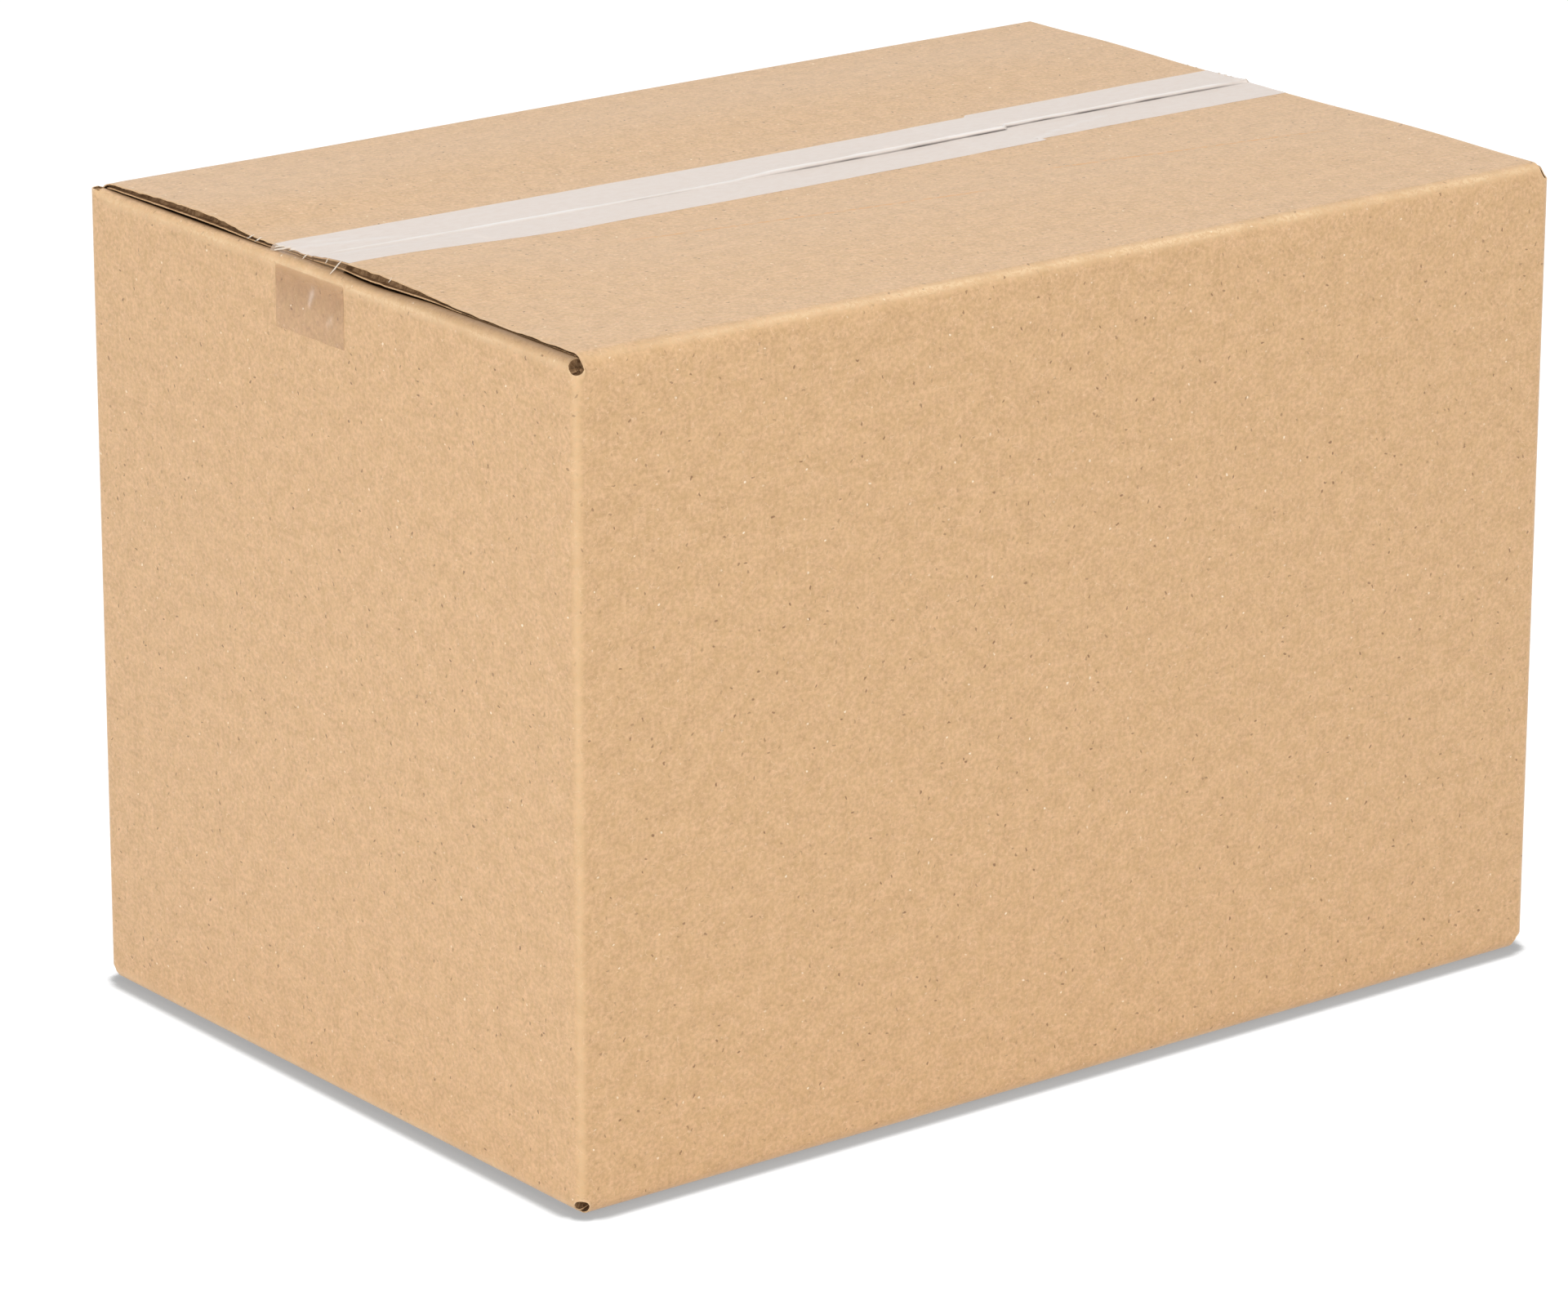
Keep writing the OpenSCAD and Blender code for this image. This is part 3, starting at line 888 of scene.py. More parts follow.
def tail_stations(side, y, tail_y, edge_z):
    """Sections of the tail, from the raw end down: how far out and how high each point lies."""
    centre = np.array([LENGTH / 2 - INNER_FOLD_R, TOP - CROWN - INNER_FOLD_R])
    start = np.stack([np.full(len(y), RAW_X + 0.1), edge_z + OFF_EDGE], 1)
    away = start - centre
    r = INNER_FOLD_R + OFF_PANEL
    meet = np.arctan2(away[:, 1], away[:, 0]) - np.arccos(r / np.linalg.norm(away, axis=1))
    turns = [meet * (1 - f) for f in np.linspace(0, 1, 7)]
    on_fold = [centre + r * np.stack([np.cos(a), np.sin(a)], 1) for a in turns]
    stations = [start]
    for k, f in enumerate(BRIDGE):
        crumple = CRUMPLE * soft_noise(y, k, 3, 62)
        stations.append(start * (1 - f) + on_fold[0] * f + crumple[:, None] * (0.4, 1))
    stations += on_fold
    low = TAIL_LOW + UNEVEN_END * soft_noise(y, 0, 9, 63)
    for f in np.linspace(0, 1, 12)[1:]:
        z = on_fold[-1][:, 1] * (1 - f) + low * f
        push = wall_push(1 if side < 0 else 3, side * tail_y, z)
        stations.append(np.stack([LENGTH / 2 + push + OFF_PANEL, z], 1))
    return stations


def tail_white(k, y, at_y, z):
    """How white the tail is at station k: torn places on the bridge, and places left unrubbed."""
    torn = 0.5 * (1 + soft_noise(y, k * 1.5, 5, 64)) * smooth(k, 9, 3)
    white = 0.6 * torn * smooth(y - SEAM_Y, 4, 18)
    for mark_y, mark_z, size, strength in UNRUBBED:
        across = hump(at_y + LEAN * (z - mark_z), mark_y, size)
        white = white + strength * across * hump(z, mark_z, LONGER * size)
    return white


def add_tail(side, y, rows, looks, edge_z):
    """Adds the rows of the tail to those of its strip."""
    tail_y = SEAM_Y - TAIL_ASIDE + (y - y.mean()) * (1 - TAIL_NARROWER / TAPE_W)
    stations = tail_stations(side, y, tail_y, edge_z)
    for k, station in enumerate(stations):
        slide = smooth(k / (len(stations) - 1), 0.05, 0.5)
        at_y = y * (1 - slide) + tail_y * slide
        rows.append(np.stack([side * station[:, 0], at_y, station[:, 1]], 1))
        white = tail_white(k, y, at_y, station[:, 1])
        cover = CLEAR + STUCK * smooth(k, 7, 18) + MILKY * white
        looks.append((np.clip(white, 0, 1), np.clip(cover, 0, MOST), 0 * y))
    return rows, looks


# %% [markdown]
# The rows become a closed skin: the face, the same face a film's thickness lower, and a rim.

# %% Build a strip
HALF_SKIN = 0.03


def film_mesh(name, rows, looks):
    grid = np.array(rows)
    count, width = grid.shape[:2]
    along = np.gradient(grid, axis=0)
    side = np.gradient(grid, axis=1)
    normal = np.cross(along, side)
    normal /= np.linalg.norm(normal, axis=2)[:, :, None]
    if normal[0, width // 2, 2] < 0:
        normal = -normal
    lower = grid - HALF_SKIN * normal
    upper = grid + HALF_SKIN * normal
    points = np.concatenate([upper.reshape(-1, 3), lower.reshape(-1, 3)])
    at = np.arange(count * width).reshape(count, width)
    faces = []
    for i in range(count - 1):
        for j in range(width - 1):
            ring = [at[i, j], at[i + 1, j], at[i + 1, j + 1], at[i, j + 1]]
            faces += [ring, [p + count * width for p in ring[::-1]]]
    border = [at[i, 0] for i in range(count)] + [at[-1, j] for j in range(1, width)]
    border += [at[i, -1] for i in range(count - 2, -1, -1)] + [at[0, j] for j in range(width - 2, 0, -1)]
    for a, b in zip(border, border[1:] + border[:1]):
        faces.append([b, a, a + count * width, b + count * width])
    mesh = bpy.data.meshes.new(name)
    mesh.from_pydata(points * MM, [], faces)
    for label, values in zip(("milk", "cover", "gap"), np.array(looks).transpose(1, 0, 2)):
        set_attribute(mesh, label, np.tile(values.ravel(), 2))
    step = np.linalg.norm(np.diff(grid[:, width // 2], axis=0), axis=1)
    run_u = np.concatenate([[0], np.cumsum(step)])
    run_v = grid[0, :, 1]
    set_uv(mesh, "film", [(run_u[(v % (count * width)) // width], run_v[v % width])
                          for loop in faces for v in loop])
    return mesh


def add_film(name, rows, looks, node):
    mesh = film_mesh(name, rows, looks)
    bm = bmesh.new()
    bm.from_mesh(mesh)
    bmesh.ops.recalc_face_normals(bm, faces=bm.faces)
    bm.to_mesh(mesh)
    bm.free()
    smooth_but_edges(mesh, 60)
    strip = add_object(mesh)
    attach(strip, "root")
    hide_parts(node)
    print(name, len(mesh.polygons), "faces")
    return strip


strips = []
for name, side, start_x in (("tape_strip_left", -1, JOIN_X), ("tape_strip_right", 1, JOIN_X - LAP)):
    y, rows, looks, edge_z = strip_points(side, start_x)
    rows, looks = add_tail(side, y, rows, looks, edge_z)
    node = "top_tape_left" if side < 0 else "top_tape_right"
    strips.append(add_film(name, rows, looks, node))

# %% [markdown]
# The strip under the box has no tails. It is flat, because the box stands on it.

# %% Bottom strip
BOTTOM_COVER = 0.8


def bottom_rows(across=13, along=60):
    y = np.linspace(TAPE_W / 2, -TAPE_W / 2, across)
    rows = [np.stack([np.full(across, x), y, np.full(across, BASE - FILM / 2)], 1)
            for x in np.linspace(-RAW_X, RAW_X, along)]
    milk = [0.85 + 0.15 * soft_noise(row[:, 0], row[:, 1], 12, 66) for row in rows]
    return rows, [(each, BOTTOM_COVER + 0 * each, 0 * each) for each in milk]


strips.append(add_film("tape_strip_bottom", *bottom_rows(), "bottom_tape"))

# %% [markdown]
# ## Strands of film
# Where a strip is pulled over the raw edge its film gathers into thin bright strands. They
# could be painted on, but they stand free of the board, so each is a thin tube on a bent
# line from the flap's top edge down to the fold of the end panel.

# %% Strands at the raw edge
def tube(points, radii, sides=6):
    """Vertices and faces of a closed tube along points."""
    points = [Vector(p) for p in points]
    verts, faces = [], []
    for i, p in enumerate(points):
        way = (points[min(i + 1, len(points) - 1)] - points[max(i - 1, 0)]).normalized()
        a = way.orthogonal().normalized()
        b = way.cross(a)
        for s in range(sides):
            turn = 2 * math.pi * s / sides
            verts.append(p + (a * math.cos(turn) + b * math.sin(turn)) * radii[i])
    for i in range(len(points) - 1):
        for s in range(sides):
            t = (s + 1) % sides
            faces.append([i * sides + s, i * sides + t, (i + 1) * sides + t, (i + 1) * sides + s])
    faces.append(list(range(sides))[::-1])
    faces.append([(len(points) - 1) * sides + s for s in range(sides)])
    return verts, faces


# y at the top edge, then how far the strand runs back, out and down, and its radius
STRANDS = [(51, 1.6, 1.4, 1.2, 0.2), (46, 1.4, 1.6, 1.4, 0.22), (27, 6.5, 2.2, 1.8, 0.32),
           (31, 3.4, 1.4, 0.6, 0.26), (24, 2.2, 1.0, 0.4, 0.16), (15.7, 0.8, 2.1, 2.3, 0.22),
           (1.9, 0.5, 1.0, 2.0, 0.2), (-6.6, 1.5, 4.0, 4.6, 0.22), (-38, 0.5, 0.7, 1.6, 0.14)]
# Points on a strand, how far in and how high it starts, and how far it wavers
STRAND_POINTS, STARTS_IN, STARTS_UP, WAVER = 13, 0.5, 0.25, 0.12


def strand_path(side, top_y, back, out, down, phase):
    """A strand's line: from the flap's top edge over the raw edge and down to the fold."""
    edge_top = float(top_surface(side * RAW_X, np.array(top_y)))
    path = []
    for f in np.linspace(0, 1, STRAND_POINTS):
        y = top_y + back * f + WAVER * math.sin(7 * f + phase)
        z = edge_top + STARTS_UP - down * f ** 1.2
        path.append((side * (RAW_X - STARTS_IN + (out + STARTS_IN) * f), y, z))
    return path


def strand_radii(radius):
    """A strand is thickest in the middle."""
    last = STRAND_POINTS - 1
    return [radius * (0.7 + 0.7 * math.sin(math.pi * min(i + 1, last) / STRAND_POINTS))
            for i in range(STRAND_POINTS)]


verts, faces = [], []
for side in (-1, 1):
    for n, (top_y, back, out, down, radius) in enumerate(STRANDS):
        path = strand_path(side, top_y, back, out, down, 100 + n)
        more, more_faces = tube(path, strand_radii(radius))
        faces += [[p + len(verts) for p in face] for face in more_faces]
        verts += more
mesh = bpy.data.meshes.new("tape_strands")
mesh.from_pydata([v * MM for v in verts], [], faces)
smooth_but_edges(mesh, 60)
strands = add_object(mesh)
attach(strands, "root")
print(2 * len(STRANDS), "strands")

# %% [markdown]
# ## Building materials
# A material is a tree of nodes. These helpers add a node with its settings and link it, so
# that each finish below reads as a short list.

# %% Helpers for node trees
def srgb(r, g, b):
    """A colour as read off a screen, 0 to 255, in the linear values that shaders use."""
    return tuple(((c / 255 + 0.055) / 1.055) ** 2.4 if c > 10 else c / 3295 for c in (r, g, b)) + (1,)


def fill(tree, sockets, inputs):
    """Gives each named socket its value, or links it where the value is a socket itself."""
    for name, value in inputs.items():
        if isinstance(value, bpy.types.NodeSocket):
            tree.links.new(value, sockets[name])
        else:
            sockets[name].default_value = value


def add(tree, kind, inputs=None, **settings):
    """Adds a node with its settings and its inputs."""
    new = tree.nodes.new("ShaderNode" + kind)
    for name, value in settings.items():
        setattr(new, name, value)
    fill(tree, new.inputs, inputs or {})
    return new


def maths(tree, operation, a, b=0.0, clamp=False):
    return add(tree, "Math", {0: a, 1: b}, operation=operation, use_clamp=clamp).outputs[0]


def times(tree, a, b, clamp=False):
    return maths(tree, "MULTIPLY", a, b, clamp)


def vector(tree, operation, a, b):
    return add(tree, "VectorMath", {0: a, 1: b}, operation=operation).outputs[0]


def remap(tree, value, low, high, to_low=0.0, to_high=1.0):
    """A soft ramp: to_low below low, to_high above high."""
    made = add(tree, "MapRange", {"Value": value, "From Min": low, "From Max": high,
                                  "To Min": to_low, "To Max": to_high}, interpolation_type="SMOOTHSTEP")
    return made.outputs["Result"]


def mix(tree, share, a, b):
    """Colour a where share is 0, colour b where it is 1."""
    return add(tree, "Mix", {0: share, 6: a, 7: b}, data_type="RGBA").outputs[2]


def group(name, inputs, outputs):
    """An empty node group with named sockets. Inputs are (name, type, value)."""
    tree = bpy.data.node_groups.new(name, "ShaderNodeTree")
    for label, kind, value in inputs:
        socket = tree.interface.new_socket(label, in_out="INPUT", socket_type="NodeSocket" + kind)
        if value is not None:
            socket.default_value = value
    for label, kind in outputs:
        tree.interface.new_socket(label, in_out="OUTPUT", socket_type="NodeSocket" + kind)
    return tree, tree.nodes.new("NodeGroupInput").outputs, tree.nodes.new("NodeGroupOutput").inputs


# %% [markdown]
# ## What paper looks like close up
# Kraft paper is a felt of wood fibres. Three things show: soft blotches where the felt is
# thicker, single fibres that lie on top, and flecks of bark. Each is a node group, because
# the outer face, the inner face and the cut edge all need them.

# %% Blotches
tree, inp, out = group("paper_blotches", [("Place", "Vector", None)],
                       [("Broad", "Float"), ("Fine", "Float"), ("Tint", "Float")])
broad = add(tree, "TexNoise", {"Vector": inp["Place"], "Scale": 120.0, "Detail": 3.0, "Roughness": 0.6})
fine = add(tree, "TexNoise", {"Vector": inp["Place"], "Scale": 560.0, "Detail": 3.0, "Roughness": 0.65})
shifted = vector(tree, "ADD", inp["Place"], (1.3, 4.1, 0.0))
tint = add(tree, "TexNoise", {"Vector": shifted, "Scale": 190.0, "Detail": 4.0, "Roughness": 0.6})
tree.links.new(remap(tree, broad.outputs["Fac"], 0.3, 0.7), out["Broad"])
tree.links.new(remap(tree, fine.outputs["Fac"], 0.3, 0.7), out["Fine"])
tree.links.new(remap(tree, tint.outputs["Fac"], 0.36, 0.64), out["Tint"])
print("group:", tree.name)

# %% [markdown]
# Single fibres are the thin walls between the cells of a wobbly Voronoi pattern, kept only
# here and there.

# %% Fibres
FIBRE_INPUTS = [("Place", "Vector", None), ("Size", "Float", 300.0), ("Share", "Float", 0.5)]
tree, inp, out = group("paper_fibres", FIBRE_INPUTS, [("Mask", "Float")])


def wobbled(tree, place, scale, detail, reach):
    """The place, moved about by noise, so that a pattern on it has no straight lines."""
    wobble = add(tree, "TexNoise", {"Vector": place, "Scale": scale, "Detail": detail})
    moved = vector(tree, "MULTIPLY", wobble.outputs["Color"], (reach, reach, 0.0))
    return vector(tree, "ADD", place, moved)


place = wobbled(tree, inp["Place"], 260.0, 2.0, 0.004)
walls = add(tree, "TexVoronoi", {"Vector": place, "Scale": inp["Size"]},
            feature="DISTANCE_TO_EDGE", voronoi_dimensions="2D")
line = remap(tree, walls.outputs["Distance"], 0.035, 0.008)
gate = add(tree, "TexNoise", {"Vector": inp["Place"], "Scale": 330.0, "Detail": 1.0})
kept = remap(tree, maths(tree, "ADD", gate.outputs["Fac"], inp["Share"]), 1.06, 1.14)
tree.links.new(times(tree, line, kept), out["Mask"])
print("group:", tree.name)

# %% [markdown]
# Flecks are small spots in some cells of a Voronoi pattern. The pattern is turned and
# stretched, so the spots are short dashes. Three layers at three angles look unordered.

# %% Flecks
FLECK_INPUTS = [("Place", "Vector", None), ("Size", "Float", 150.0), ("Share", "Float", 0.3),
                ("Spread", "Float", 0.12), ("Turn", "Float", 0.0), ("Stretch", "Vector", (1.0, 1.0, 1.0))]
tree, inp, out = group("paper_flecks", FLECK_INPUTS, [("Mask", "Float")])
place = wobbled(tree, inp["Place"], 700.0, 1.0, 0.0014)
turned = add(tree, "VectorRotate", {"Vector": place, "Angle": inp["Turn"]}, rotation_type="Z_AXIS")
pulled = vector(tree, "MULTIPLY", turned.outputs[0], inp["Stretch"])
cell = add(tree, "TexVoronoi", {"Vector": pulled, "Scale": inp["Size"]}, voronoi_dimensions="2D").outputs
pick = add(tree, "SeparateColor", {0: cell["Color"]}).outputs
spot = remap(tree, cell["Distance"], inp["Spread"], times(tree, inp["Spread"], 0.5))
kept = maths(tree, "LESS_THAN", pick["Red"], inp["Share"])
strength = maths(tree, "ADD", maths(tree, "POWER", pick["Green"], 3.0), 0.22, clamp=True)
tree.links.new(times(tree, times(tree, spot, strength), kept), out["Mask"])
print("group:", tree.name)

# %% [markdown]
# ## Kraft paper
# The outer face is the base colour with these groups laid over it. Where the board was
# creased, the stretched paper is paler, and on the folds that pale colour is a painted highlight.
# Light paper has a broad, weak gloss, and a fine bump keeps it from looking like plastic.

# %% Kraft paper
def use(tree, name, inputs):
    """Adds a node group and gives its outputs."""
    return add(tree, "Group", inputs, node_tree=bpy.data.node_groups[name]).outputs


def new_material(name):
    material = bpy.data.materials.new(name)
    material.use_nodes = True
    tree = material.node_tree
    tree.nodes.clear()
    shader = tree.nodes.new("ShaderNodeBsdfPrincipled")
    end = tree.nodes.new("ShaderNodeOutputMaterial")
    tree.links.new(shader.outputs[0], end.inputs["Surface"])
    return material, tree, shader


def laid_over(tree, colour, mask, strength, other):
    """The colour with another one over it, where the mask says."""
    return mix(tree, times(tree, mask, strength), colour, other)


OLIVE, BROWN_HAIR, PALE_HAIR = srgb(217, 178, 122), srgb(170, 124, 80), srgb(244, 212, 174)
BARK, WHITE_FLECK = srgb(126, 86, 48), srgb(255, 236, 208)
KRAFT_INPUTS = [("Place", "Vector", None), ("Light", "Color", None), ("Dark", "Color", None)]
tree, inp, out = group("kraft_pattern", KRAFT_INPUTS,
                       [("Color", "Color"), ("Wear", "Float"), ("Height", "Float")])
place = inp["Place"]
blotch = use(tree, "paper_blotches", {"Place": place})
shade = maths(tree, "ADD", times(tree, blotch["Broad"], 0.35), times(tree, blotch["Fine"], 0.65))
colour = mix(tree, shade, inp["Light"], inp["Dark"])
colour = laid_over(tree, colour, blotch["Tint"], 0.4, mix(tree, 0.62, colour, OLIVE))
hairs = use(tree, "paper_fibres", {"Place": place, "Size": 230.0, "Share": 0.52})["Mask"]
colour = laid_over(tree, colour, hairs, 0.3, BROWN_HAIR)
aside = vector(tree, "ADD", place, (7, 3, 0.0))
pale = use(tree, "paper_fibres", {"Place": aside, "Size": 280.0, "Share": 0.52})["Mask"]
colour = laid_over(tree, colour, pale, 0.5, PALE_HAIR)
for turn in (0.5, 1.7, 2.7):
    aside = vector(tree, "ADD", place, (turn, 2 * turn, 0.0))
    flecks = {"Place": aside, "Size": 195.0, "Turn": turn, "Share": 0.2, "Spread": 0.092,
              "Stretch": (1.0, 0.5, 1.0)}
    colour = laid_over(tree, colour, use(tree, "paper_flecks", flecks)["Mask"], 0.8, BARK)
aside = vector(tree, "ADD", place, (3, 5, 0.0))
flecks = {"Place": aside, "Size": 105.0, "Share": 0.34, "Spread": 0.055}
colour = laid_over(tree, colour, use(tree, "paper_flecks", flecks)["Mask"], 0.95, WHITE_FLECK)
tree.links.new(colour, out["Color"])
# Patches that break up the pale rub and painted highlight on the creases
tree.links.new(remap(tree, blotch["Fine"], 0.15, 0.7, 0.2, 1.0), out["Wear"])
tree.links.new(maths(tree, "ADD", blotch["Fine"], times(tree, hairs, 0.5)), out["Height"])
print("group:", tree.name)

# %% [markdown]
# The front top flap has two faint lines scored into it, of a more orange tan. They are drawn
# by their place on the blank, and broken up by noise.

# %% The scored lines
SCORED_Y, SCORED_TAN = -60.0, srgb(220, 162, 94)
front_index = [i for i, c in enumerate(columns) if c["panel"] == "front"][30]
front_mid = columns[front_index]["u"] - columns[front_index]["t"]
line_row = int(np.argmin(np.abs(outer_pts[front_index, T_FOLD:, 1] - SCORED_Y))) + T_FOLD
line_v = uv_at[front_index, line_row, 1] + SCORED_Y - outer_pts[front_index, line_row, 1]
# Each line in x: where it begins, is full, has ended and begins to end. Then its y and slope
SCORED = [(-140, -90, 38, 20, -57.8, -0.16), (60, 85, 205, 180, -37.3, -0.165)]


def scored_lines(tree, place, colour):
    at = add(tree, "SeparateXYZ", {0: place}).outputs
    x = maths(tree, "SUBTRACT", at["X"], front_mid * MM)
    wobble = add(tree, "TexNoise", {"Vector": place, "Scale": 30.0}).outputs["Fac"]
    broken = add(tree, "TexNoise", {"Vector": place, "Scale": 320.0, "Detail": 3.0}).outputs["Fac"]
    broken = remap(tree, broken, 0.4, 0.6, 0.1, 0.95)
    for from_x, full_x, to_x, until_x, y, slant in SCORED:
        middle = maths(tree, "ADD", times(tree, x, slant), (line_v - SCORED_Y + y) * MM)
        middle = maths(tree, "ADD", middle, times(tree, wobble, 0.002))
        off = maths(tree, "ABSOLUTE", maths(tree, "SUBTRACT", at["Y"], middle))
        line = times(tree, remap(tree, off, 0.0014, 0.0006), broken)
        start = remap(tree, x, from_x * MM, full_x * MM)
        end = remap(tree, x, to_x * MM, until_x * MM)
        colour = laid_over(tree, colour, line, times(tree, start, end), SCORED_TAN)
    return colour


print("scored lines at", round(line_v, 1), "mm above the middle of the wall")

# %% [markdown]
# Each paper is this pattern between two shades. Its creases are rubbed pale, and on the folds the
# pale line is a painted highlight. The crease under the flaps' cut ends gets painted shade.

# %% Papers
# Pale colour of rubbed creases and of the painted highlight on the folds, and the painted shade colour in
# the crease under the flaps' cut ends
RUB_AND_HIGHLIGHT_PALE, CREASE_SHADE_COLOUR = srgb(246, 214, 170), srgb(124, 92, 58)


def paper(name, light, dark, roughness, outer=False):
    """A kraft paper between two shades, with its creases."""
    material, tree, shader = new_material(name)
    place = add(tree, "UVMap", uv_map="blank").outputs[0]
    made = use(tree, "kraft_pattern", {"Place": place, "Light": light, "Dark": dark})
    colour = made["Color"]
    if outer:
        colour = scored_lines(tree, place, colour)
    # Pale where creases are rubbed, and a painted highlight on the folds
    pale_rub_and_highlight_at = add(tree, "Attribute", attribute_name="creased").outputs["Fac"]
    paleness = times(tree, pale_rub_and_highlight_at, made["Wear"], clamp=True)
    colour = laid_over(tree, colour, paleness, 0.85, RUB_AND_HIGHLIGHT_PALE)
    # Painted shade in the end panels' crease under the outer flaps' cut ends
    crease_shade_at = add(tree, "Attribute", attribute_name="crushed").outputs["Fac"]
    colour = laid_over(tree, colour, crease_shade_at, 0.95, CREASE_SHADE_COLOUR)
    tree.links.new(colour, shader.inputs["Base Color"])
    bump = add(tree, "Bump", {"Strength": 0.3, "Distance": 0.0002, "Height": made["Height"]})
    tree.links.new(bump.outputs[0], shader.inputs["Normal"])
    shader.inputs["Roughness"].default_value = roughness
    shader.inputs["Specular IOR Level"].default_value = 0.5
    if outer:
        # Loose fibres catch the light where the face is seen at a low angle, but not where the crease has
        # painted shade
        unshaded = maths(tree, "SUBTRACT", 1.0, crease_shade_at, clamp=True)
        tree.links.new(times(tree, unshaded, 0.28), shader.inputs["Sheen Weight"])
        shader.inputs["Sheen Roughness"].default_value = 0.4
    return material


kraft = paper("kraft_face", srgb(232, 190, 145), srgb(196, 156, 110), 0.55, True)
kraft_inside = paper("kraft_inner_face", srgb(205, 165, 122), srgb(190, 150, 108), 0.7)
print("papers:", kraft.name, kraft_inside.name)

# %% [markdown]
# The cut edge is darker: it is in its own shade, and the fluting paper is a browner stock.

# %% Raw edge
CUT_LIGHT, CUT_DARK = srgb(172, 138, 102), srgb(116, 86, 58)
raw_edge, tree, shader = new_material("raw_edge")
place = add(tree, "UVMap", uv_map="blank").outputs[0]
blotch = use(tree, "paper_blotches", {"Place": place})
tree.links.new(mix(tree, blotch["Fine"], CUT_LIGHT, CUT_DARK), shader.inputs["Base Color"])
shader.inputs["Roughness"].default_value = 0.85
shader.inputs["Specular IOR Level"].default_value = 0.1
for part in (kraft, kraft_inside, raw_edge):
    carton.data.materials.append(part)

# %% [markdown]
# ## Tape
# Packing tape is clear film, but where its glue bridges rough paper it scatters light and
# looks white. Where it was rubbed down hard the glue wets the paper, which then shows its own
# pattern a shade darker. The strip's attributes say which it is. The film is a closed skin,
# and only the side that faces out should count, so the side seen from behind is made clear.

# %% Film
WET_PAPER = {"Light": srgb(216, 171, 127), "Dark": srgb(186, 144, 101)}
# Milky film, the white of the painted highlight on the ridge, and the painted shade on the seam line
MILK_WHITE, RIDGE_HIGHLIGHT, SEAM_SHADE = srgb(242, 230, 221), (1, 0.98, 0.96, 1), srgb(66, 56, 52)


def film(name):
    material, tree, shader = new_material(name)
    place = add(tree, "UVMap", uv_map="film").outputs[0]
    milk_at, cover, gap = (add(tree, "Attribute", attribute_name=label).outputs["Fac"]
                           for label in ("milk", "cover", "gap"))
    scaled = {"Vector": place, "Scale": (0.6, 1.0, 1.0)}
    along = add(tree, "Mapping", scaled, vector_type="POINT").outputs[0]
    cloud = add(tree, "TexNoise", {"Vector": along, "Scale": 330.0, "Detail": 4.0, "Roughness": 0.7})
    milk = times(tree, milk_at, remap(tree, cloud.outputs["Fac"], 0.3, 0.65, 0.9, 1.0), clamp=True)
    wet = use(tree, "kraft_pattern", {"Place": place, **WET_PAPER})["Color"]
    colour = mix(tree, milk, wet, MILK_WHITE)
    # A painted highlight on the ridge and the wrinkles, and painted shade on the line along the seam
    colour = mix(tree, times(tree, gap, -1.0, clamp=True), colour, RIDGE_HIGHLIGHT)
    colour = mix(tree, times(tree, gap, 1.1, clamp=True), colour, SEAM_SHADE)
    tree.links.new(colour, shader.inputs["Base Color"])
    front = maths(tree, "SUBTRACT", 1.0, add(tree, "NewGeometry").outputs["Backfacing"])
    tree.links.new(times(tree, cover, front), shader.inputs["Alpha"])
    ripple = add(tree, "TexNoise", {"Vector": along, "Scale": 900.0, "Detail": 2.0}).outputs["Fac"]
    bump = add(tree, "Bump", {"Strength": 0.12, "Distance": 0.0002, "Height": ripple})
    tree.links.new(bump.outputs[0], shader.inputs["Normal"])
    shader.inputs["Roughness"].default_value = 0.32
    shader.inputs["Specular IOR Level"].default_value = 0.45
    return material


clear_film = film("clear_film")
for strip in strips:
    strip.data.materials.append(clear_film)

# %% [markdown]
# A gathered strand is many layers of film, so it is white all through.

# %% Strands
white_film, tree, shader = new_material("gathered_film")
shader.inputs["Base Color"].default_value = srgb(244, 232, 216)
shader.inputs["Roughness"].default_value = 0.3
shader.inputs["Alpha"].default_value = 0.85
strands.data.materials.append(white_film)

# %% [markdown]
# ## Studio
# The picture was taken on a white sweep. The floor is a pale disc. For the camera it glows
# a little, so that it reaches white without more light on the box, and it still keeps the
# box's shadow. In the gap right under the folds the glow is shaded too: the ambient
# occlusion node tells how closed in each point of the floor is.

# %% Floor
FLOOR_GAP = 0.0002
# How far the shadow reaches, how open its darkest and its clear points are, and its own glow
SHADOW_REACH, SHADOW_FULL, SHADOW_GONE, SHADOW_GLOW = 0.0088, 0.66, 0.94, 0.37
FLOOR_LIT, FLOOR_SEEN = (0.8, 0.8, 0.8, 1), (0.12, 0.12, 0.12, 1)


def floor_mesh(radius=14.0, rings=6, spokes=48):
    bm = bmesh.new()
    middle = bm.verts.new((0, 0, 0))
    before = None
    for r in range(1, rings + 1):
        size = radius * (r / rings) ** 2
        turns = [2 * math.pi * s / spokes for s in range(spokes)]
        circle = [bm.verts.new((size * math.cos(a), size * math.sin(a), 0)) for a in turns]
        for s in range(spokes):
            t = (s + 1) % spokes
            bm.faces.new([middle, circle[s], circle[t]] if before is None
                         else [before[s], circle[s], circle[t], before[t]])
        before = circle
    mesh = bpy.data.meshes.new("floor")
    bm.to_mesh(mesh)
    bm.free()
    return mesh


floor = add_object(floor_mesh())
floor.location.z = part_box("bottom_tape")[0].z - FLOOR_GAP


def seen_straight(tree):
    """1 for rays that show the background itself, and 0 for rays that light the box."""
    path = tree.nodes.new("ShaderNodeLightPath").outputs
    both = maths(tree, "ADD", path["Is Camera Ray"], path["Is Glossy Ray"])
    return maths(tree, "ADD", both, path["Is Transmission Ray"], clamp=True)


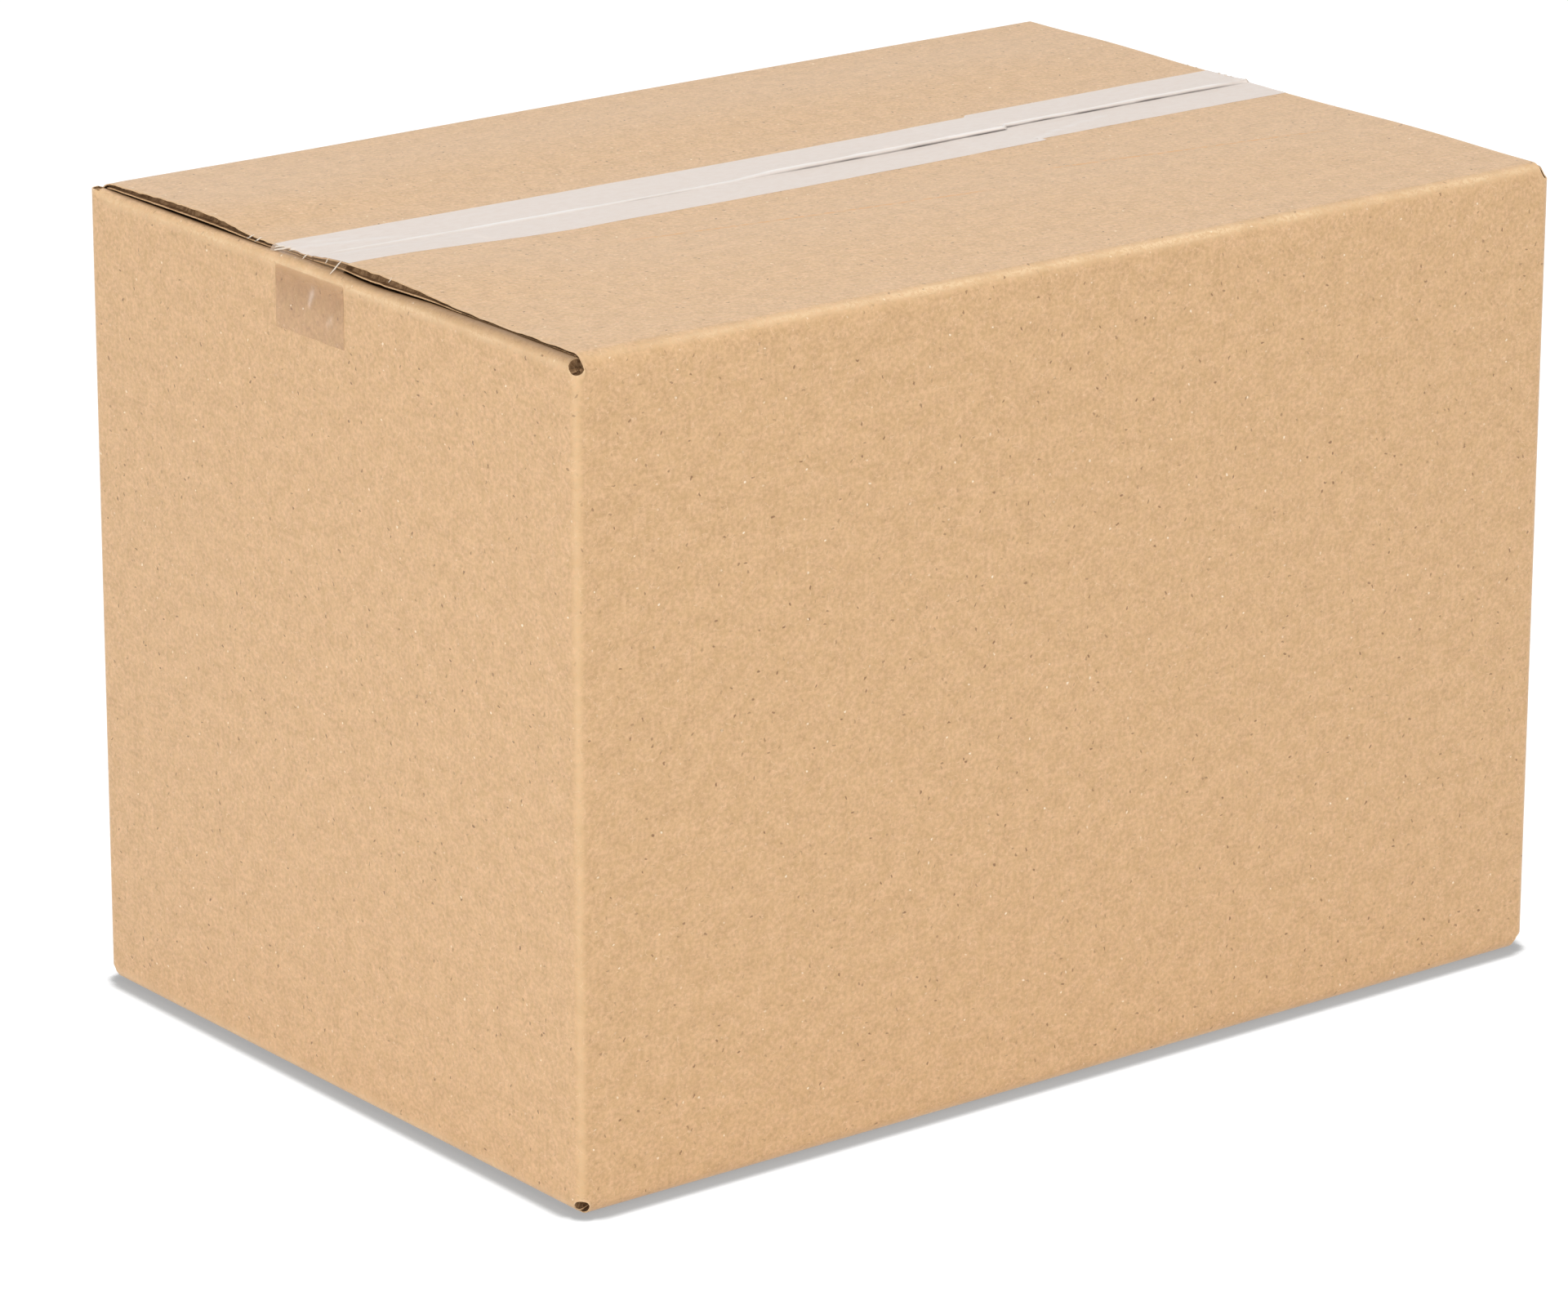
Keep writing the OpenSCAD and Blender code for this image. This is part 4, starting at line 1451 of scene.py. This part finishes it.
floor_paint, tree, shader = new_material("floor_paint")
seen = tree.nodes.new("ShaderNodeLightPath").outputs["Is Camera Ray"]
tree.links.new(mix(tree, seen, FLOOR_LIT, FLOOR_SEEN), shader.inputs["Base Color"])
shader.inputs["Roughness"].default_value = 0.9
shader.inputs["Specular IOR Level"].default_value = 0.0
shader.inputs["Emission Color"].default_value = (1, 1, 1, 1)
open_sky = add(tree, "AmbientOcclusion", {"Distance": SHADOW_REACH}, samples=16).outputs["AO"]
glow = remap(tree, open_sky, SHADOW_FULL, SHADOW_GONE, SHADOW_GLOW, 1.0)
tree.links.new(times(tree, seen_straight(tree), glow), shader.inputs["Emission Strength"])
floor.data.materials.append(floor_paint)

# %% [markdown]
# The world is white to the eye and a soft grey light to the box.

# %% World
SKY_LIGHT = 0.5
world = bpy.data.worlds.new("studio")
world.use_nodes = True
tree = world.node_tree
tree.nodes.clear()
sky = add(tree, "Background", {"Color": (1, 1, 1, 1)})
tree.links.new(remap(tree, seen_straight(tree), 0.0, 1.0, SKY_LIGHT, 1.0), sky.inputs["Strength"])
tree.links.new(sky.outputs[0], tree.nodes.new("ShaderNodeOutputWorld").inputs["Surface"])
bpy.context.scene.world = world

# %% [markdown]
# Large lamps give soft light from above, from the front and from the left. Small ones would
# draw hard shadows, which the picture doesn't have.

# %% Lamps
def lamp(name, place, target, size, power):
    data = bpy.data.lights.new(name, "AREA")
    data.shape = "RECTANGLE"
    data.size, data.size_y = size
    data.energy = power
    made = bpy.data.objects.new(name, data)
    aim = (Vector(place) - Vector(target)).to_track_quat("Z", "Y")
    made.matrix_world = Matrix.Translation(Vector(place)) @ aim.to_matrix().to_4x4()
    bpy.context.collection.objects.link(made)


lamp("lamp_above", (-0.3, -0.2, 2.6), (0, 0, 0.2), (2.4, 2.4), 27)
lamp("lamp_front", (0.3, -3.0, 1.0), (0, 0, 0.15), (2.4, 1.8), 23)
lamp("lamp_left", (-3.0, -0.7, 0.8), (0, 0, 0.15), (2.2, 1.8), 31)

# %% [markdown]
# ## Camera
# The picture looks down on the box from the front left, with a long lens.

# %% Camera
EYE = Vector((-1.6337, -2.0778, 0.9859))
YAW, PITCH, ROLL = math.radians(52.15), math.radians(-17.93), math.radians(0.15)
LENS_MM, SENSOR_MM = 163.4, 36.0
forward = Vector((math.cos(PITCH) * math.cos(YAW), math.cos(PITCH) * math.sin(YAW), math.sin(PITCH)))
level = Vector((math.sin(YAW), -math.cos(YAW), 0))
upward = level.cross(forward)
right_way = level * math.cos(ROLL) + upward * math.sin(ROLL)
up_way = upward * math.cos(ROLL) - level * math.sin(ROLL)
lens = bpy.data.cameras.new("camera")
lens.lens, lens.sensor_width = LENS_MM, SENSOR_MM
lens.clip_start, lens.clip_end = 0.1, 60.0
camera = bpy.data.objects.new("camera", lens)
turned = Matrix((right_way, up_way, -forward)).transposed()
camera.matrix_world = Matrix.Translation(EYE) @ turned.to_4x4()
bpy.context.collection.objects.link(camera)
bpy.context.scene.camera = camera
bpy.context.scene.view_settings.view_transform = "Standard"
